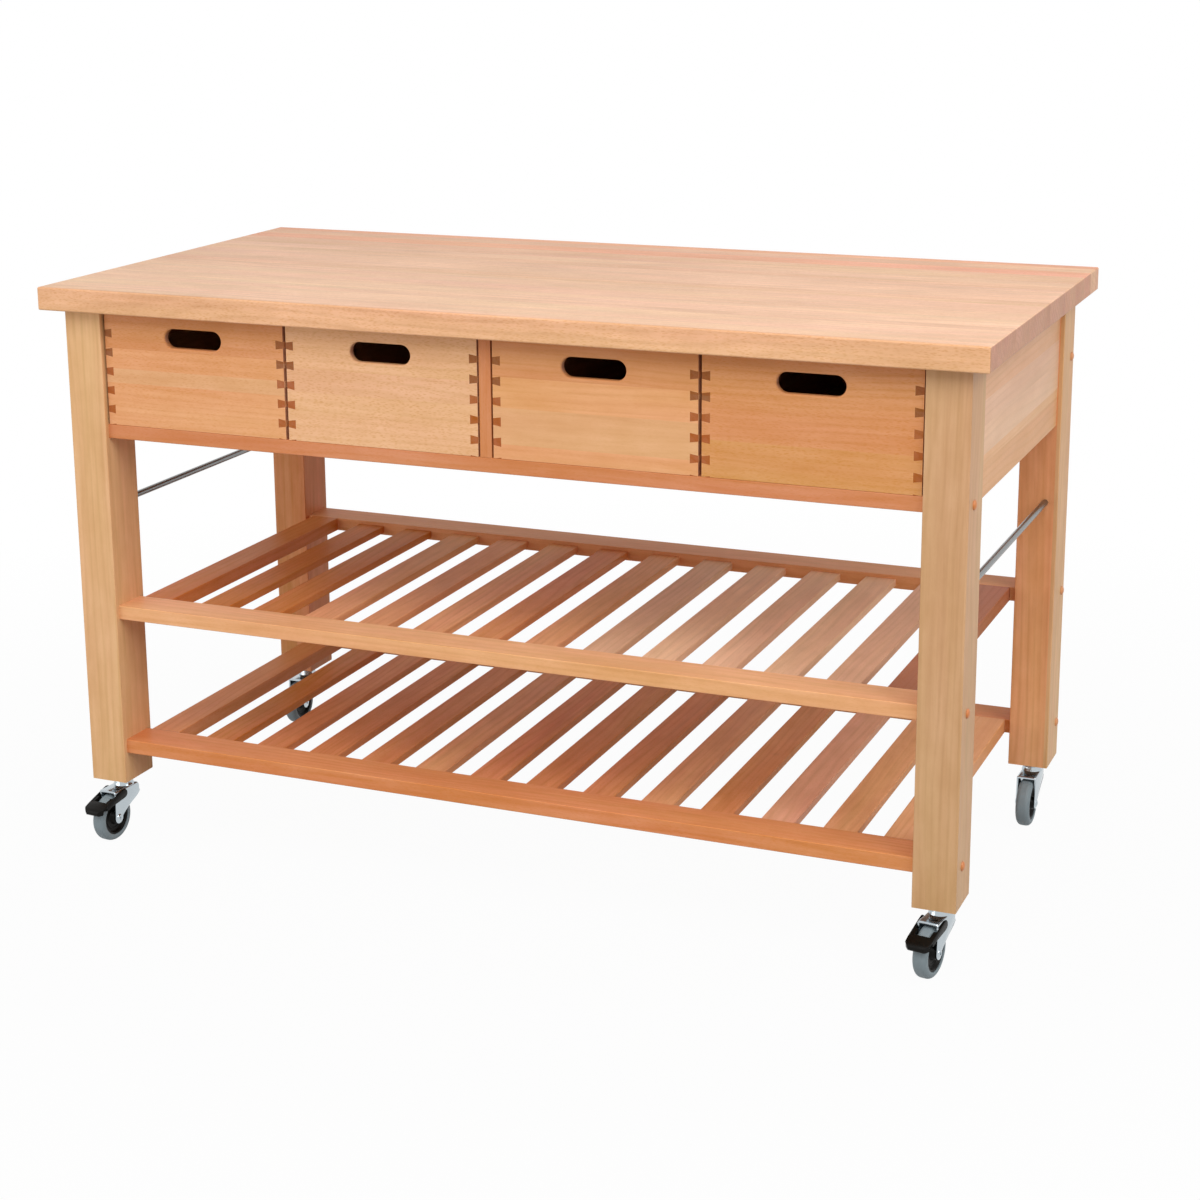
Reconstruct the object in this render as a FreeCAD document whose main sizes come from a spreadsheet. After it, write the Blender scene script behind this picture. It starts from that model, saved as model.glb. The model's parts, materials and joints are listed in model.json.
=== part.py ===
import FreeCAD, Part
import math
import os
import re
import Sketcher

# A beech kitchen cart: a worktop on four legs, four dovetailed drawers, two slatted shelves,
# two hanging rods and four casters. Millimetres. The origin is on the floor under the middle
# of the worktop; X runs to the right, Y to the back and Z up.

X_AXIS = FreeCAD.Vector(1, 0, 0)
Y_AXIS = FreeCAD.Vector(0, 1, 0)
Z_AXIS = FreeCAD.Vector(0, 0, 1)

SIZES = {
    # Worktop
    "top_width": 1450,
    "top_depth": 730,
    "top_thick": 35,
    "top_overhang": 28,
    "top_round": 2.5,
    # Legs
    "leg_wide": 62,
    "leg_deep": 77,
    "leg_length": 755,
    "edge_round": 1.5,
    # Panels and rails: the reveal is how far they stand back from the legs' outer faces
    "reveal": 7.5,
    "panel_height": 198,
    "panel_thick": 20,
    "tongue_thick": 10,
    "tongue_length": 10,
    "rail_wide": 60,
    "rail_thick": 22,
    "tenon_length": 16,
    "tenon_shoulder": 5,
    # Shelves
    "lower_rise": 48,
    "upper_rise": 268,
    "end_rail_wide": 50,
    "end_rail_gap": 9,
    "slat_count": 12,
    "slat_wide": 50,
    "slat_thick": 12,
    "slat_drop": 6,
    "slat_shoulder": 2,
    "shelf_tenon": 10,
    # Hanging rods
    "rod_diameter": 10,
    "rod_rise": 435,
    "rod_inset": 20,
    "rod_socket": 20,
    # Screws through the legs, each under a raised plug
    "front_screw_inset": 29,
    "screw_diameter": 5,
    "screw_length": 70,
    "screw_head": 9,
    "screw_head_thick": 4,
    "plug_margin": 1,
    "plug_seat": 14,
    "button_lip": 1.5,
    "button_slope": 2.5,
    "button_thick": 2,
    "fit": 0.1,
    # Drawer bay
    "divider_thick": 18,
    "runner_wide": 60,
    "ledge_wide": 25,
    "guide_height": 30,
    "rib_clear": 1,
    "cleat_height": 20,
    # Drawers
    "drawer_clear": 3,
    "pair_gap": 5,
    "drawer_top_clear": 3,
    "drawer_stop_clear": 1,
    "slide_clear": 0.3,
    "board_thick": 12,
    "bottom_thick": 6,
    "bottom_rise": 8,
    "groove_depth": 5,
    "pin_count": 6,
    "pin_pitch": 29.2,
    "pin_first": 32,
    "pin_wide": 13.5,
    "pin_narrow": 9.5,
    "slot_wide": 96,
    "slot_high": 29,
    "slot_drop": 34,
    "slot_round": 3,
    # Casters
    "caster_trail": 34,
    "wheel_diameter": 75,
    "tyre_wide": 22,
    "tyre_shoulder": 8,
    "rim_diameter": 55,
    "rim_wide": 18,
    "rim_thick": 4,
    "web_thick": 8,
    "boss_diameter": 20,
    "axle_diameter": 8,
    "axle_head": 13,
    "axle_head_thick": 2,
    "fork_clear": 2,
    "fork_plate": 2.5,
    "fork_tip": 9,
    "fork_front": 6,
    "fork_rear": 20,
    "fork_skirt": 15,
    "fork_back_round": 6,
    "crown_clear": 4.5,
    "crown_thick": 3,
    "race_diameter": 32,
    "race_height": 8,
    "pin_head": 17,
    "pin_head_thick": 3,
    "pivot_diameter": 10,
    "cup_diameter": 31,
    "cup_height": 6.2,
    "flange_diameter": 38,
    "flange_thick": 3,
    "stem_diameter": 10,
    "stem_length": 40,
    "running_clear": 0.05,
    "end_play": 0.3,
    "front_left_swivel": -5,
    "front_right_swivel": -9,
    # Brake pedals
    "pedal_slope": 18,
    "pedal_clear": 4.2,
    "pedal_foot": 24,
    "pedal_sink": 6.5,
    "pedal_rise": 4.6,
    "pedal_thick": 4,
    "pedal_reach": 64,
    "pedal_corner": 9,
    "nose_thick": 8,
    "nose_drop": 5.6,
    "arm_gap": 0.4,
    "arm_thick": 2.6,
    "arm_knee": 34,
    "ear_wide": 13,
    "stub_diameter": 5,
}

# Places worked out from the driving sizes
HALF_WIDE = "(top_width / 2 - top_overhang)"
HALF_DEEP = "(top_depth / 2 - top_overhang)"
LEG_IN_X = f"({HALF_WIDE} - leg_wide)"
LEG_IN_Y = f"({HALF_DEEP} - leg_deep)"
AXLE_Z = "(wheel_diameter / 2)"
CROWN = "(wheel_diameter + crown_clear)"
CROWN_TOP = f"({CROWN} + crown_thick)"
RACE_TOP = f"({CROWN_TOP} + race_height)"
FOOT = f"({RACE_TOP} + end_play + cup_height + flange_thick)"
UNDER = f"({FOOT} + leg_length)"
APRON = f"({UNDER} - panel_height)"
SEAT = f"({APRON} + rail_thick)"
FRONT = f"(reveal - {HALF_DEEP})"
RAIL_IN_Y = f"({HALF_DEEP} - reveal - rail_wide)"
PANEL_OUT_X = f"({HALF_WIDE} - reveal)"
PANEL_IN_X = f"({PANEL_OUT_X} - panel_thick)"
BACK_IN_Y = f"({HALF_DEEP} - reveal - panel_thick)"
BACK_MID_Y = f"({HALF_DEEP} - reveal - panel_thick / 2)"
TONGUE_HEIGHT = "(panel_height - tenon_shoulder)"
SHELF_HALF = f"({LEG_IN_X} - end_rail_gap - end_rail_wide)"
SLAT_GAP = f"((2 * {SHELF_HALF} - slat_count * slat_wide) / (slat_count + 1))"
PAIR_MID_X = f"(({LEG_IN_X} + divider_thick / 2) / 2)"
DRAWER_WIDE = f"(({LEG_IN_X} - divider_thick / 2 - pair_gap) / 2 - drawer_clear)"
DRAWER_DEEP = f"({BACK_IN_Y} - {FRONT} - drawer_stop_clear)"
DRAWER_HIGH = "(panel_height - rail_thick - slide_clear - drawer_top_clear)"
DRAWER_LOW = f"({SEAT} + slide_clear)"
DRAWER_TOP = f"({UNDER} - drawer_top_clear)"
CASTER_X = f"({HALF_WIDE} - leg_wide / 2)"
CASTER_Y = f"({HALF_DEEP} - leg_deep / 2)"
FORK_IN = "(tyre_wide / 2 + fork_clear)"
FORK_OUT = f"({FORK_IN} + fork_plate)"
ARM_IN = f"({FORK_OUT} + arm_gap)"
ARM_OUT = f"({ARM_IN} + arm_thick)"
TIP_ROUND = "0.8 * fork_tip"
TYRE_ROUND = "min(tyre_shoulder; 0.45 * tyre_wide; 0.45 * (wheel_diameter - rim_diameter))"
PEDAL_STAND = "(wheel_diameter / 2 - pedal_sink)"
PEDAL_TOP = "(pedal_rise + pedal_thick)"
PEDAL_ROOM = "(wheel_diameter / 2 + pedal_clear)"
PIVOT_Y = f"(pedal_foot * cos(pedal_slope) - {PEDAL_STAND} * sin(pedal_slope) - caster_trail)"
PIVOT_Z = f"({AXLE_Z} + {PEDAL_STAND} * cos(pedal_slope) + pedal_foot * sin(pedal_slope))"
PLUG = "(screw_head + 2 * plug_margin)"
BUTTON = f"({PLUG} + 2 * button_lip)"
RIB = "(pair_gap - 2 * rib_clear)"

SIDES = {"left": -1, "right": 1}
ENDS = {"front": -1, "back": 1}
SHELVES = {"upper": "upper_rise", "lower": "lower_rise"}

doc = FreeCAD.newDocument("kitchen_cart")
dims = doc.addObject("Spreadsheet::Sheet", "dims")
for row, (alias, value) in enumerate(SIZES.items(), 1):
    dims.set(f"A{row}", alias.replace("_", " "))
    dims.set(f"B{row}", str(value))
    dims.setAlias(f"B{row}", alias)
doc.recompute()

pieces = []


def cell(formula):
    """Points each size named in a formula at its cell of the sheet."""
    return re.sub(r"[a-z][a-z_]*", lambda word: f"dims.{word[0]}" if word[0] in SIZES else word[0], formula)


def count(alias):
    """Reads a whole number from the sheet."""
    return int(dims.get(alias))


def bind(thing, **formulas):
    """Ties properties of an object to formulas of the sheet."""
    for name, formula in formulas.items():
        thing.setExpression(name, cell(formula))


def place(thing, at, swivel=None):
    """Ties an object's place to the sheet, and its turn about the upright axis where it has one."""
    if swivel:
        thing.Placement = FreeCAD.Placement(FreeCAD.Vector(), FreeCAD.Rotation(Z_AXIS, 1))
        thing.setExpression("Placement.Rotation.Angle", cell(swivel))
    for axis, formula in zip("xyz", at):
        thing.setExpression(f"Placement.Base.{axis}", cell(formula))
    return thing


def finished(thing, label):
    """Labels an object as one finished piece of the cart."""
    thing.Label = label
    pieces.append(thing)
    return thing


def low_end(sign, near, far):
    """Low end of a stretch between two distances from a middle plane, on one side of that plane."""
    return near if sign > 0 else f"-({far})"


def box(name, at, size):
    """A block with its low corner and its size tied to the sheet."""
    block = doc.addObject("Part::Box", name)
    bind(block, Length=size[0], Width=size[1], Height=size[2])
    return place(block, at)


def cylinder(name, at, along, diameter, length):
    """A round bar that starts at a point and runs along a direction."""
    bar = doc.addObject("Part::Cylinder", name)
    bar.Placement = FreeCAD.Placement(FreeCAD.Vector(), FreeCAD.Rotation(Z_AXIS, along))
    bind(bar, Radius=f"{diameter} / 2", Height=length)
    return place(bar, at)


def fuse(name, solids):
    """One solid from several that meet or overlap."""
    joined = doc.addObject("Part::MultiFuse", name)
    joined.Shapes = solids
    return joined


def group(name, solids):
    """Several solids that stay separate in one object."""
    bundle = doc.addObject("Part::Compound", name)
    bundle.Links = solids
    return bundle


def cut(name, base, tools):
    """A solid less all of the given tools."""
    result = doc.addObject("Part::Cut", name)
    result.Base = base
    result.Tool = fuse(f"{name}_tools", tools) if len(tools) > 1 else tools[0]
    return result


def runs_along(edge, axis):
    """True for a straight edge parallel to an axis."""
    return edge.Curve.TypeId == "Part::GeomLine" and abs(edge.Curve.Direction.dot(axis)) > 0.999


def eased(name, block, axis):
    """A block with its long edges along one axis rounded over."""
    doc.recompute()
    radius = dims.get("edge_round")
    softened = doc.addObject("Part::Fillet", name)
    softened.Base = block
    edges = enumerate(block.Shape.Edges, 1)
    softened.Edges = [(number, radius, radius) for number, edge in edges if runs_along(edge, axis)]
    return softened


def new_sketch(body, name, plane, lift=None):
    """An empty sketch on one of a body's origin planes, lifted off it where asked."""
    sketch = body.newObject("Sketcher::SketchObject", name)
    support = [feature for feature in body.Origin.OriginFeatures if feature.Role == plane]
    sketch.AttachmentSupport = [(support[0], "")]
    sketch.MapMode = "FlatFace"
    if lift:
        sketch.setExpression("AttachmentOffset.Base.z", cell(lift))
    return sketch


def hold_point(sketch, geometry, position, point):
    """Holds a point of a sketch by its two distances from the sketch's origin."""
    for kind, formula, axis in zip(("DistanceX", "DistanceY"), point, (-2, -1)):
        if formula == "0":
            sketch.addConstraint(Sketcher.Constraint("PointOnObject", geometry, position, axis))
        else:
            number = sketch.addConstraint(Sketcher.Constraint(kind, -1, 1, geometry, position, 1.0))
            sketch.setExpression(f"Constraints[{number}]", cell(formula))


def outline(sketch, corners):
    """Draws a closed outline of straight runs through corners given as formulas."""
    first = sketch.GeometryCount
    number = len(corners)
    turns = [2 * math.pi * index / number for index in range(number)]
    start = [FreeCAD.Vector(math.cos(turn), math.sin(turn), 0) for turn in turns]
    for index in range(number):
        sketch.addGeometry(Part.LineSegment(start[index], start[(index + 1) % number]), False)
    for index in range(number):
        after = first + (index + 1) % number
        sketch.addConstraint(Sketcher.Constraint("Coincident", first + index, 2, after, 1))
    for index, corner in enumerate(corners):
        hold_point(sketch, first + index, 1, corner)


def rectangle(sketch, low, high):
    """Draws a rectangle between two opposite corners."""
    outline(sketch, [low, (high[0], low[1]), high, (low[0], high[1])])


def ring(sketch, centre, diameter):
    """Draws a circle of a given diameter about a point."""
    number = sketch.addGeometry(Part.Circle(FreeCAD.Vector(1, 1, 0), Z_AXIS, 1), False)
    hold_point(sketch, number, 3, centre)
    size = sketch.addConstraint(Sketcher.Constraint("Diameter", number, 2.0))
    sketch.setExpression(f"Constraints[{size}]", cell(diameter))


def pad(body, sketch, length, midplane=False):
    """Raises a sketch into a solid."""
    feature = body.newObject("PartDesign::Pad", f"{sketch.Name}_pad")
    feature.Profile = sketch
    feature.Midplane = midplane
    bind(feature, Length=length)
    sketch.Visibility = False
    return feature


def pocket(body, sketch, length=None):
    """Cuts a sketch to both sides of its plane, right through where no length is given."""
    doc.recompute()
    before = body.Shape.Volume
    feature = body.newObject("PartDesign::Pocket", f"{sketch.Name}_pocket")
    feature.Profile = sketch
    feature.Midplane = True
    if length:
        bind(feature, Length=length)
    else:
        feature.Type = "ThroughAll"
    doc.recompute()
    if body.Shape.Volume >= before:
        raise RuntimeError(f"{feature.Name} cuts nothing")
    return feature


def rounded(body, name, radius, wanted):
    """Rounds the edges of a body that pass a test."""
    doc.recompute()
    base = body.Tip
    feature = body.newObject("PartDesign::Fillet", name)
    edges = enumerate(base.Shape.Edges, 1)
    feature.Base = (base, [f"Edge{number}" for number, edge in edges if wanted(edge)])
    bind(feature, Radius=radius)
    return feature


def turned(name, profile, axis):
    """A body of revolution: a profile on the XZ plane, turned about X (H_Axis) or Z (V_Axis)."""
    body = doc.addObject("PartDesign::Body", name)
    sketch = new_sketch(body, f"{name}_profile", "XZ_Plane")
    outline(sketch, profile)
    feature = body.newObject("PartDesign::Revolution", f"{name}_turn")
    feature.Profile = sketch
    feature.ReferenceAxis = (sketch, [axis])
    return body


def make_worktop():
    """The laminated slab, rounded on every edge."""
    body = doc.addObject("PartDesign::Body", "worktop")
    sketch = new_sketch(body, "worktop_plan", "XY_Plane")
    rectangle(sketch, ("-top_width / 2", "-top_depth / 2"), ("top_width / 2", "top_depth / 2"))
    pad(body, sketch, "top_thick")
    rounded(body, "worktop_edges", "top_round", lambda edge: True)
    place(body, ("0", "0", UNDER))
    finished(body, "worktop")


def screw_set(name, sign, y, z):
    """A screw driven inwards from a leg's outer face, with its plug and the stepped hole they sit in."""
    inward = X_AXIS * -sign
    face = f"{sign} * {HALF_WIDE}"
    seat = f"{sign} * ({HALF_WIDE} - plug_seat)"
    under_head = f"{sign} * ({HALF_WIDE} - plug_seat + screw_head_thick)"
    shank = cylinder(f"{name}_shank", (seat, y, z), inward, "screw_diameter", "screw_length")
    head = cylinder(f"{name}_head", (under_head, y, z), inward, "screw_head", "screw_head_thick")
    stub = cylinder(f"{name}_stub", (face, y, z), inward, PLUG, "plug_seat - screw_head_thick")
    button = doc.addObject("Part::Cone", f"{name}_button")
    button.Placement = FreeCAD.Placement(FreeCAD.Vector(), FreeCAD.Rotation(Z_AXIS, X_AXIS * sign))
    bind(button, Radius1=f"{BUTTON} / 2", Radius2=f"{BUTTON} / 2 - button_slope", Height="button_thick")
    place(button, (face, y, z))
    bore = cylinder(f"{name}_bore", (face, y, z), inward, f"({PLUG} + 2 * fit)", "plug_seat")
    pilot = cylinder(f"{name}_pilot", (seat, y, z), inward, "(screw_diameter + 2 * fit)", "screw_length")
    return {
        "screw": fuse(f"{name}_screw", [shank, head]),
        "plug": fuse(f"{name}_plug", [stub, button]),
        "hole": fuse(f"{name}_hole", [bore, pilot]),
    }


def make_screws():
    """Three screws through each leg: into the drawer rail or the back panel, and into the two shelf rails."""
    sets = {}
    shelf_mid = {shelf: f"{FOOT} + {rise} + rail_thick / 2" for shelf, rise in SHELVES.items()}
    levels = {
        "front": {"apron": f"{APRON} + rail_thick / 2", **shelf_mid},
        "back": {"apron": f"{UNDER} - panel_height / 2", **shelf_mid},
    }
    rows = {"front": f"front_screw_inset - {HALF_DEEP}", "back": BACK_MID_Y}
    for end in ENDS:
        for side, sign in SIDES.items():
            for level, z in levels[end].items():
                sets[end, side, level] = screw_set(f"{end}_{side}_{level}", sign, rows[end], z)
    finished(group("leg_screws", [parts["screw"] for parts in sets.values()]), "leg_screws")
    finished(group("screw_plugs", [parts["plug"] for parts in sets.values()]), "screw_plugs")
    return {place_of: parts["hole"] for place_of, parts in sets.items()}


def panel_tongue(name, at, size):
    """A panel's long tongue, which stops short of the panel's lower edge."""
    return box(name, (*at, f"{APRON} + tenon_shoulder"), (*size, TONGUE_HEIGHT))


def make_end_panels():
    """A board between the front and back legs at each end, tongued into them."""
    tongues = {}
    for side, sign in SIDES.items():
        x = low_end(sign, PANEL_IN_X, PANEL_OUT_X)
        size = ("panel_thick", f"2 * {LEG_IN_Y}", "panel_height")
        board = box(f"end_board_{side}", (x, f"-{LEG_IN_Y}", APRON), size)
        at = (f"{x} + (panel_thick - tongue_thick) / 2", f"-{LEG_IN_Y} - tongue_length")
        size = ("tongue_thick", f"2 * ({LEG_IN_Y} + tongue_length)")
        tongues[side] = panel_tongue(f"end_tongue_{side}", at, size)
        solids = [eased(f"end_eased_{side}", board, Y_AXIS), tongues[side]]
        finished(fuse(f"end_panel_{side}", solids), f"end_panel_{side}")
    return tongues


def make_back_panel(holes, tenons):
    """A board between the back legs, tongued into them and mortised for the runners and the divider."""
    size = (f"2 * {LEG_IN_X}", "panel_thick", "panel_height")
    board = box("back_board", (f"-{LEG_IN_X}", BACK_IN_Y, APRON), size)
    at = (f"-{LEG_IN_X} - tongue_length", f"{BACK_MID_Y} - tongue_thick / 2")
    tongue = panel_tongue("back_tongue", at, (f"2 * ({LEG_IN_X} + tongue_length)", "tongue_thick"))
    whole = fuse("back_blank", [eased("back_eased", board, X_AXIS), tongue])
    drilled = [holes["back", side, "apron"] for side in SIDES]
    finished(cut("back_panel", whole, drilled + tenons), "back_panel")
    return tongue


def cross_rail(name, end, z):
    """A bar between the two legs of one long side, with a stub tenon at each end."""
    sign = ENDS[end]
    y = low_end(sign, RAIL_IN_Y, f"{RAIL_IN_Y} + rail_wide")
    bar = box(f"{name}_bar", (f"-{LEG_IN_X}", y, z), (f"2 * {LEG_IN_X}", "rail_wide", "rail_thick"))
    at = (f"-{LEG_IN_X} - tenon_length", f"{y} + tenon_shoulder", f"{z} + tenon_shoulder")
    section = ("rail_wide - 2 * tenon_shoulder", "rail_thick - 2 * tenon_shoulder")
    tenon = box(f"{name}_tenon", at, (f"2 * ({LEG_IN_X} + tenon_length)", *section))
    return fuse(f"{name}_blank", [eased(f"{name}_eased", bar, X_AXIS), tenon]), tenon


def make_runners():
    """Runners level with the drawer rail: at each end, under each pair of drawers and in the middle."""
    runners, tenons = [], []
    start = f"-{RAIL_IN_Y}"
    length = f"({BACK_IN_Y} + {RAIL_IN_Y})"
    for name, middle in {"left": f"-{PAIR_MID_X}", "middle": "0", "right": PAIR_MID_X}.items():
        at = (f"{middle} - runner_wide / 2", start, APRON)
        solids = [box(f"runner_{name}_bar", at, ("runner_wide", length, "rail_thick"))]
        tenon_x = f"{middle} - runner_wide / 2 + tenon_shoulder"
        at = (tenon_x, f"{start} - tongue_length", f"{APRON} + tenon_shoulder")
        section = ("runner_wide - 2 * tenon_shoulder", "rail_thick - 2 * tenon_shoulder")
        size = (section[0], f"{length} + 2 * tongue_length", section[1])
        tenon = box(f"runner_{name}_tenon", at, size)
        tenons.append(tenon)
        solids.append(tenon)
        if name != "middle":
            at = (f"{middle} - {RIB} / 2", start, SEAT)
            solids.append(box(f"runner_{name}_rib", at, (RIB, length, "guide_height")))
        runners.append(fuse(f"runner_{name}", solids))
    for side, sign in SIDES.items():
        ledge_x = low_end(sign, f"{LEG_IN_X} - ledge_wide", LEG_IN_X)
        ledge = box(f"ledge_{side}", (ledge_x, start, APRON), ("ledge_wide", length, "rail_thick"))
        guide_x = low_end(sign, LEG_IN_X, PANEL_IN_X)
        size = (f"{PANEL_IN_X} - {LEG_IN_X}", f"2 * {LEG_IN_Y}", "rail_thick + guide_height")
        guide = box(f"guide_{side}", (guide_x, f"-{LEG_IN_Y}", APRON), size)
        runners.append(fuse(f"runner_end_{side}", [ledge, guide]))
    finished(group("drawer_runners", runners), "drawer_runners")
    return tenons


def make_divider():
    """The upright between the two pairs of drawers, from the drawer rail to the back panel."""
    height = f"({UNDER} - {SEAT})"
    at = ("-divider_thick / 2", FRONT, SEAT)
    board = box("divider_board", at, ("divider_thick", f"{BACK_IN_Y} - {FRONT}", height))
    at = ("-tongue_thick / 2", f"{FRONT} + tenon_shoulder", f"{SEAT} - tongue_length")
    foot_length = "rail_wide - tenon_shoulder - 2 * tongue_length"
    foot = box("divider_foot", at, ("tongue_thick", foot_length, "2 * tongue_length"))
    at = ("-tongue_thick / 2", f"{BACK_IN_Y} - tongue_length", f"{SEAT} + tenon_shoulder")
    heel = box("divider_heel", at, ("tongue_thick", "2 * tongue_length", f"{height} - tenon_shoulder"))
    finished(fuse("drawer_divider", [board, foot, heel]), "drawer_divider")
    return foot, heel


def make_cleats():
    """A batten along the top of each end panel, flush with the legs, which holds the worktop down."""
    battens = []
    for side, sign in SIDES.items():
        at = (low_end(sign, LEG_IN_X, PANEL_IN_X), f"-{LEG_IN_Y}", f"{UNDER} - cleat_height")
        size = (f"{PANEL_IN_X} - {LEG_IN_X}", f"2 * {LEG_IN_Y}", "cleat_height")
        battens.append(box(f"cleat_{side}", at, size))
    finished(group("worktop_cleats", battens), "worktop_cleats")


def housed_bar(name, x, z, wide, thick, shoulder):
    """A bar from front to back between two shelf rails, with a stub tenon at each end."""
    bar = box(f"{name}_bar", (x, f"-{RAIL_IN_Y}", z), (wide, f"2 * {RAIL_IN_Y}", thick))
    at = (f"{x} + {shoulder}", f"-{RAIL_IN_Y} - shelf_tenon", f"{z} + {shoulder}")
    length = f"2 * ({RAIL_IN_Y} + shelf_tenon)"
    tenon = box(f"{name}_tenon", at, (f"{wide} - 2 * {shoulder}", length, f"{thick} - 2 * {shoulder}"))
    return fuse(name, [eased(f"{name}_eased", bar, Y_AXIS), tenon]), tenon


def make_shelf(shelf, rise, holes):
    """A slatted shelf: two rails tenoned into the legs, with the end rails and slats housed in them."""
    low = f"({FOOT} + {rise})"
    slat_low = f"({low} + rail_thick - slat_drop - slat_thick)"
    slats = []
    for index in range(count("slat_count")):
        x = f"({index} * slat_wide + {index + 1} * {SLAT_GAP} - {SHELF_HALF})"
        name = f"{shelf}_slat_{index + 1}"
        slats.append(housed_bar(name, x, slat_low, "slat_wide", "slat_thick", "slat_shoulder"))
    end_rails = []
    for side, sign in SIDES.items():
        x = f"({low_end(sign, SHELF_HALF, f'{SHELF_HALF} + end_rail_wide')})"
        name = f"{shelf}_end_rail_{side}"
        end_rails.append(housed_bar(name, x, low, "end_rail_wide", "rail_thick", "tenon_shoulder"))
    finished(group(f"{shelf}_slats", [bar for bar, tenon in slats]), f"{shelf}_slats")
    finished(group(f"{shelf}_end_rails", [bar for bar, tenon in end_rails]), f"{shelf}_end_rails")
    mortises = [tenon for bar, tenon in slats + end_rails]
    tenons = {}
    for end in ENDS:
        name = f"{shelf}_{end}_rail"
        blank, tenons[end] = cross_rail(name, end, low)
        drilled = [holes[end, side, shelf] for side in SIDES]
        finished(cut(name, blank, mortises + drilled), name)
    return tenons


def make_rods():
    """A steel rod at each end, held in sockets in the front and back legs."""
    sockets = {}
    for side, sign in SIDES.items():
        at = (f"{sign} * ({HALF_WIDE} - rod_inset)", f"-{LEG_IN_Y} - rod_socket", f"{FOOT} + rod_rise")
        length = f"2 * ({LEG_IN_Y} + rod_socket)"
        finished(cylinder(f"hanging_rod_{side}", at, Y_AXIS, "rod_diameter", length), f"hanging_rod_{side}")
        sockets[side] = cylinder(f"rod_socket_{side}", at, Y_AXIS, "(rod_diameter + 2 * fit)", length)
    return sockets


def make_legs(holes, cutters):
    """Four legs, cut for the panels, the rails, the screws, the rods and the casters' stems."""
    for end, end_sign in ENDS.items():
        for side, side_sign in SIDES.items():
            name = f"leg_{end}_{side}"
            at = (low_end(side_sign, LEG_IN_X, HALF_WIDE), low_end(end_sign, LEG_IN_Y, HALF_DEEP), FOOT)
            post = box(f"{name}_post", at, ("leg_wide", "leg_deep", "leg_length"))
            blank = eased(f"{name}_eased", post, Z_AXIS)
            at = (f"{side_sign} * {CASTER_X}", f"{end_sign} * {CASTER_Y}", FOOT)
            stem = cylinder(f"{name}_stem_bore", at, Z_AXIS, "(stem_diameter + 2 * fit)", "stem_length")
            drilled = [hole for place_of, hole in holes.items() if place_of[:2] == (end, side)]
            finished(cut(name, blank, cutters[end, side] + drilled + [stem]), name)


def drawer_pins(name, x, y):
    """A drawer's dovetail pins: a row up the front left corner, mirrored to the other three corners."""
    row = []
    for index in range(count("pin_count")):
        pin = doc.addObject("Part::Wedge", f"{name}_pin_{index + 1}")
        pin.Placement = FreeCAD.Placement(FreeCAD.Vector(), FreeCAD.Rotation(Z_AXIS, -90))
        bind(pin, Xmin="0", Xmax="board_thick", X2min="0", X2max="board_thick", Ymin="0", Ymax="board_thick")
        bind(pin, Zmin="-pin_narrow / 2", Zmax="pin_narrow / 2", Z2min="-pin_wide / 2", Z2max="pin_wide / 2")
        row.append(place(pin, (x, f"{y} + board_thick", f"{DRAWER_TOP} - pin_first - {index} * pin_pitch")))
    left = group(f"{name}_pins_left", row)
    right = doc.addObject("Part::Mirroring", f"{name}_pins_right")
    right.Source = left
    right.Normal = X_AXIS
    right.setExpression("Base.x", cell(f"{x} + {DRAWER_WIDE} / 2"))
    front = group(f"{name}_pins_front", [left, right])
    back = doc.addObject("Part::Mirroring", f"{name}_pins_back")
    back.Source = front
    back.Normal = Y_AXIS
    back.setExpression("Base.y", cell(f"{y} + {DRAWER_DEEP} / 2"))
    return front, back


def slotted_front(name, board, x, y):
    """A drawer front with its rounded hand slot cut right through."""
    middle = f"{x} + {DRAWER_WIDE} / 2"
    level = f"{DRAWER_TOP} - slot_drop"
    straight = "(slot_wide - slot_high)"
    at = (f"{middle} - {straight} / 2", y, f"{level} - slot_high / 2")
    solids = [box(f"{name}_slot_middle", at, (straight, "board_thick", "slot_high"))]
    for side, sign in SIDES.items():
        at = (f"{middle} + {sign} * {straight} / 2", y, level)
        solids.append(cylinder(f"{name}_slot_{side}", at, Y_AXIS, "slot_high", "board_thick"))
    slotted = cut(f"{name}_slotted", board, solids)
    doc.recompute()
    face = board.Shape.BoundBox
    radius = dims.get("slot_round")
    smooth = doc.addObject("Part::Fillet", f"{name}_smooth")
    smooth.Base = slotted
    rims = []
    for number, edge in enumerate(slotted.Shape.Edges, 1):
        reach = edge.BoundBox
        inside_x = face.XMin < reach.XMin and reach.XMax < face.XMax
        inside_z = face.ZMin < reach.ZMin and reach.ZMax < face.ZMax
        if inside_x and inside_z and not runs_along(edge, Y_AXIS):
            rims.append((number, radius, radius))
    smooth.Edges = rims
    return smooth


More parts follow.
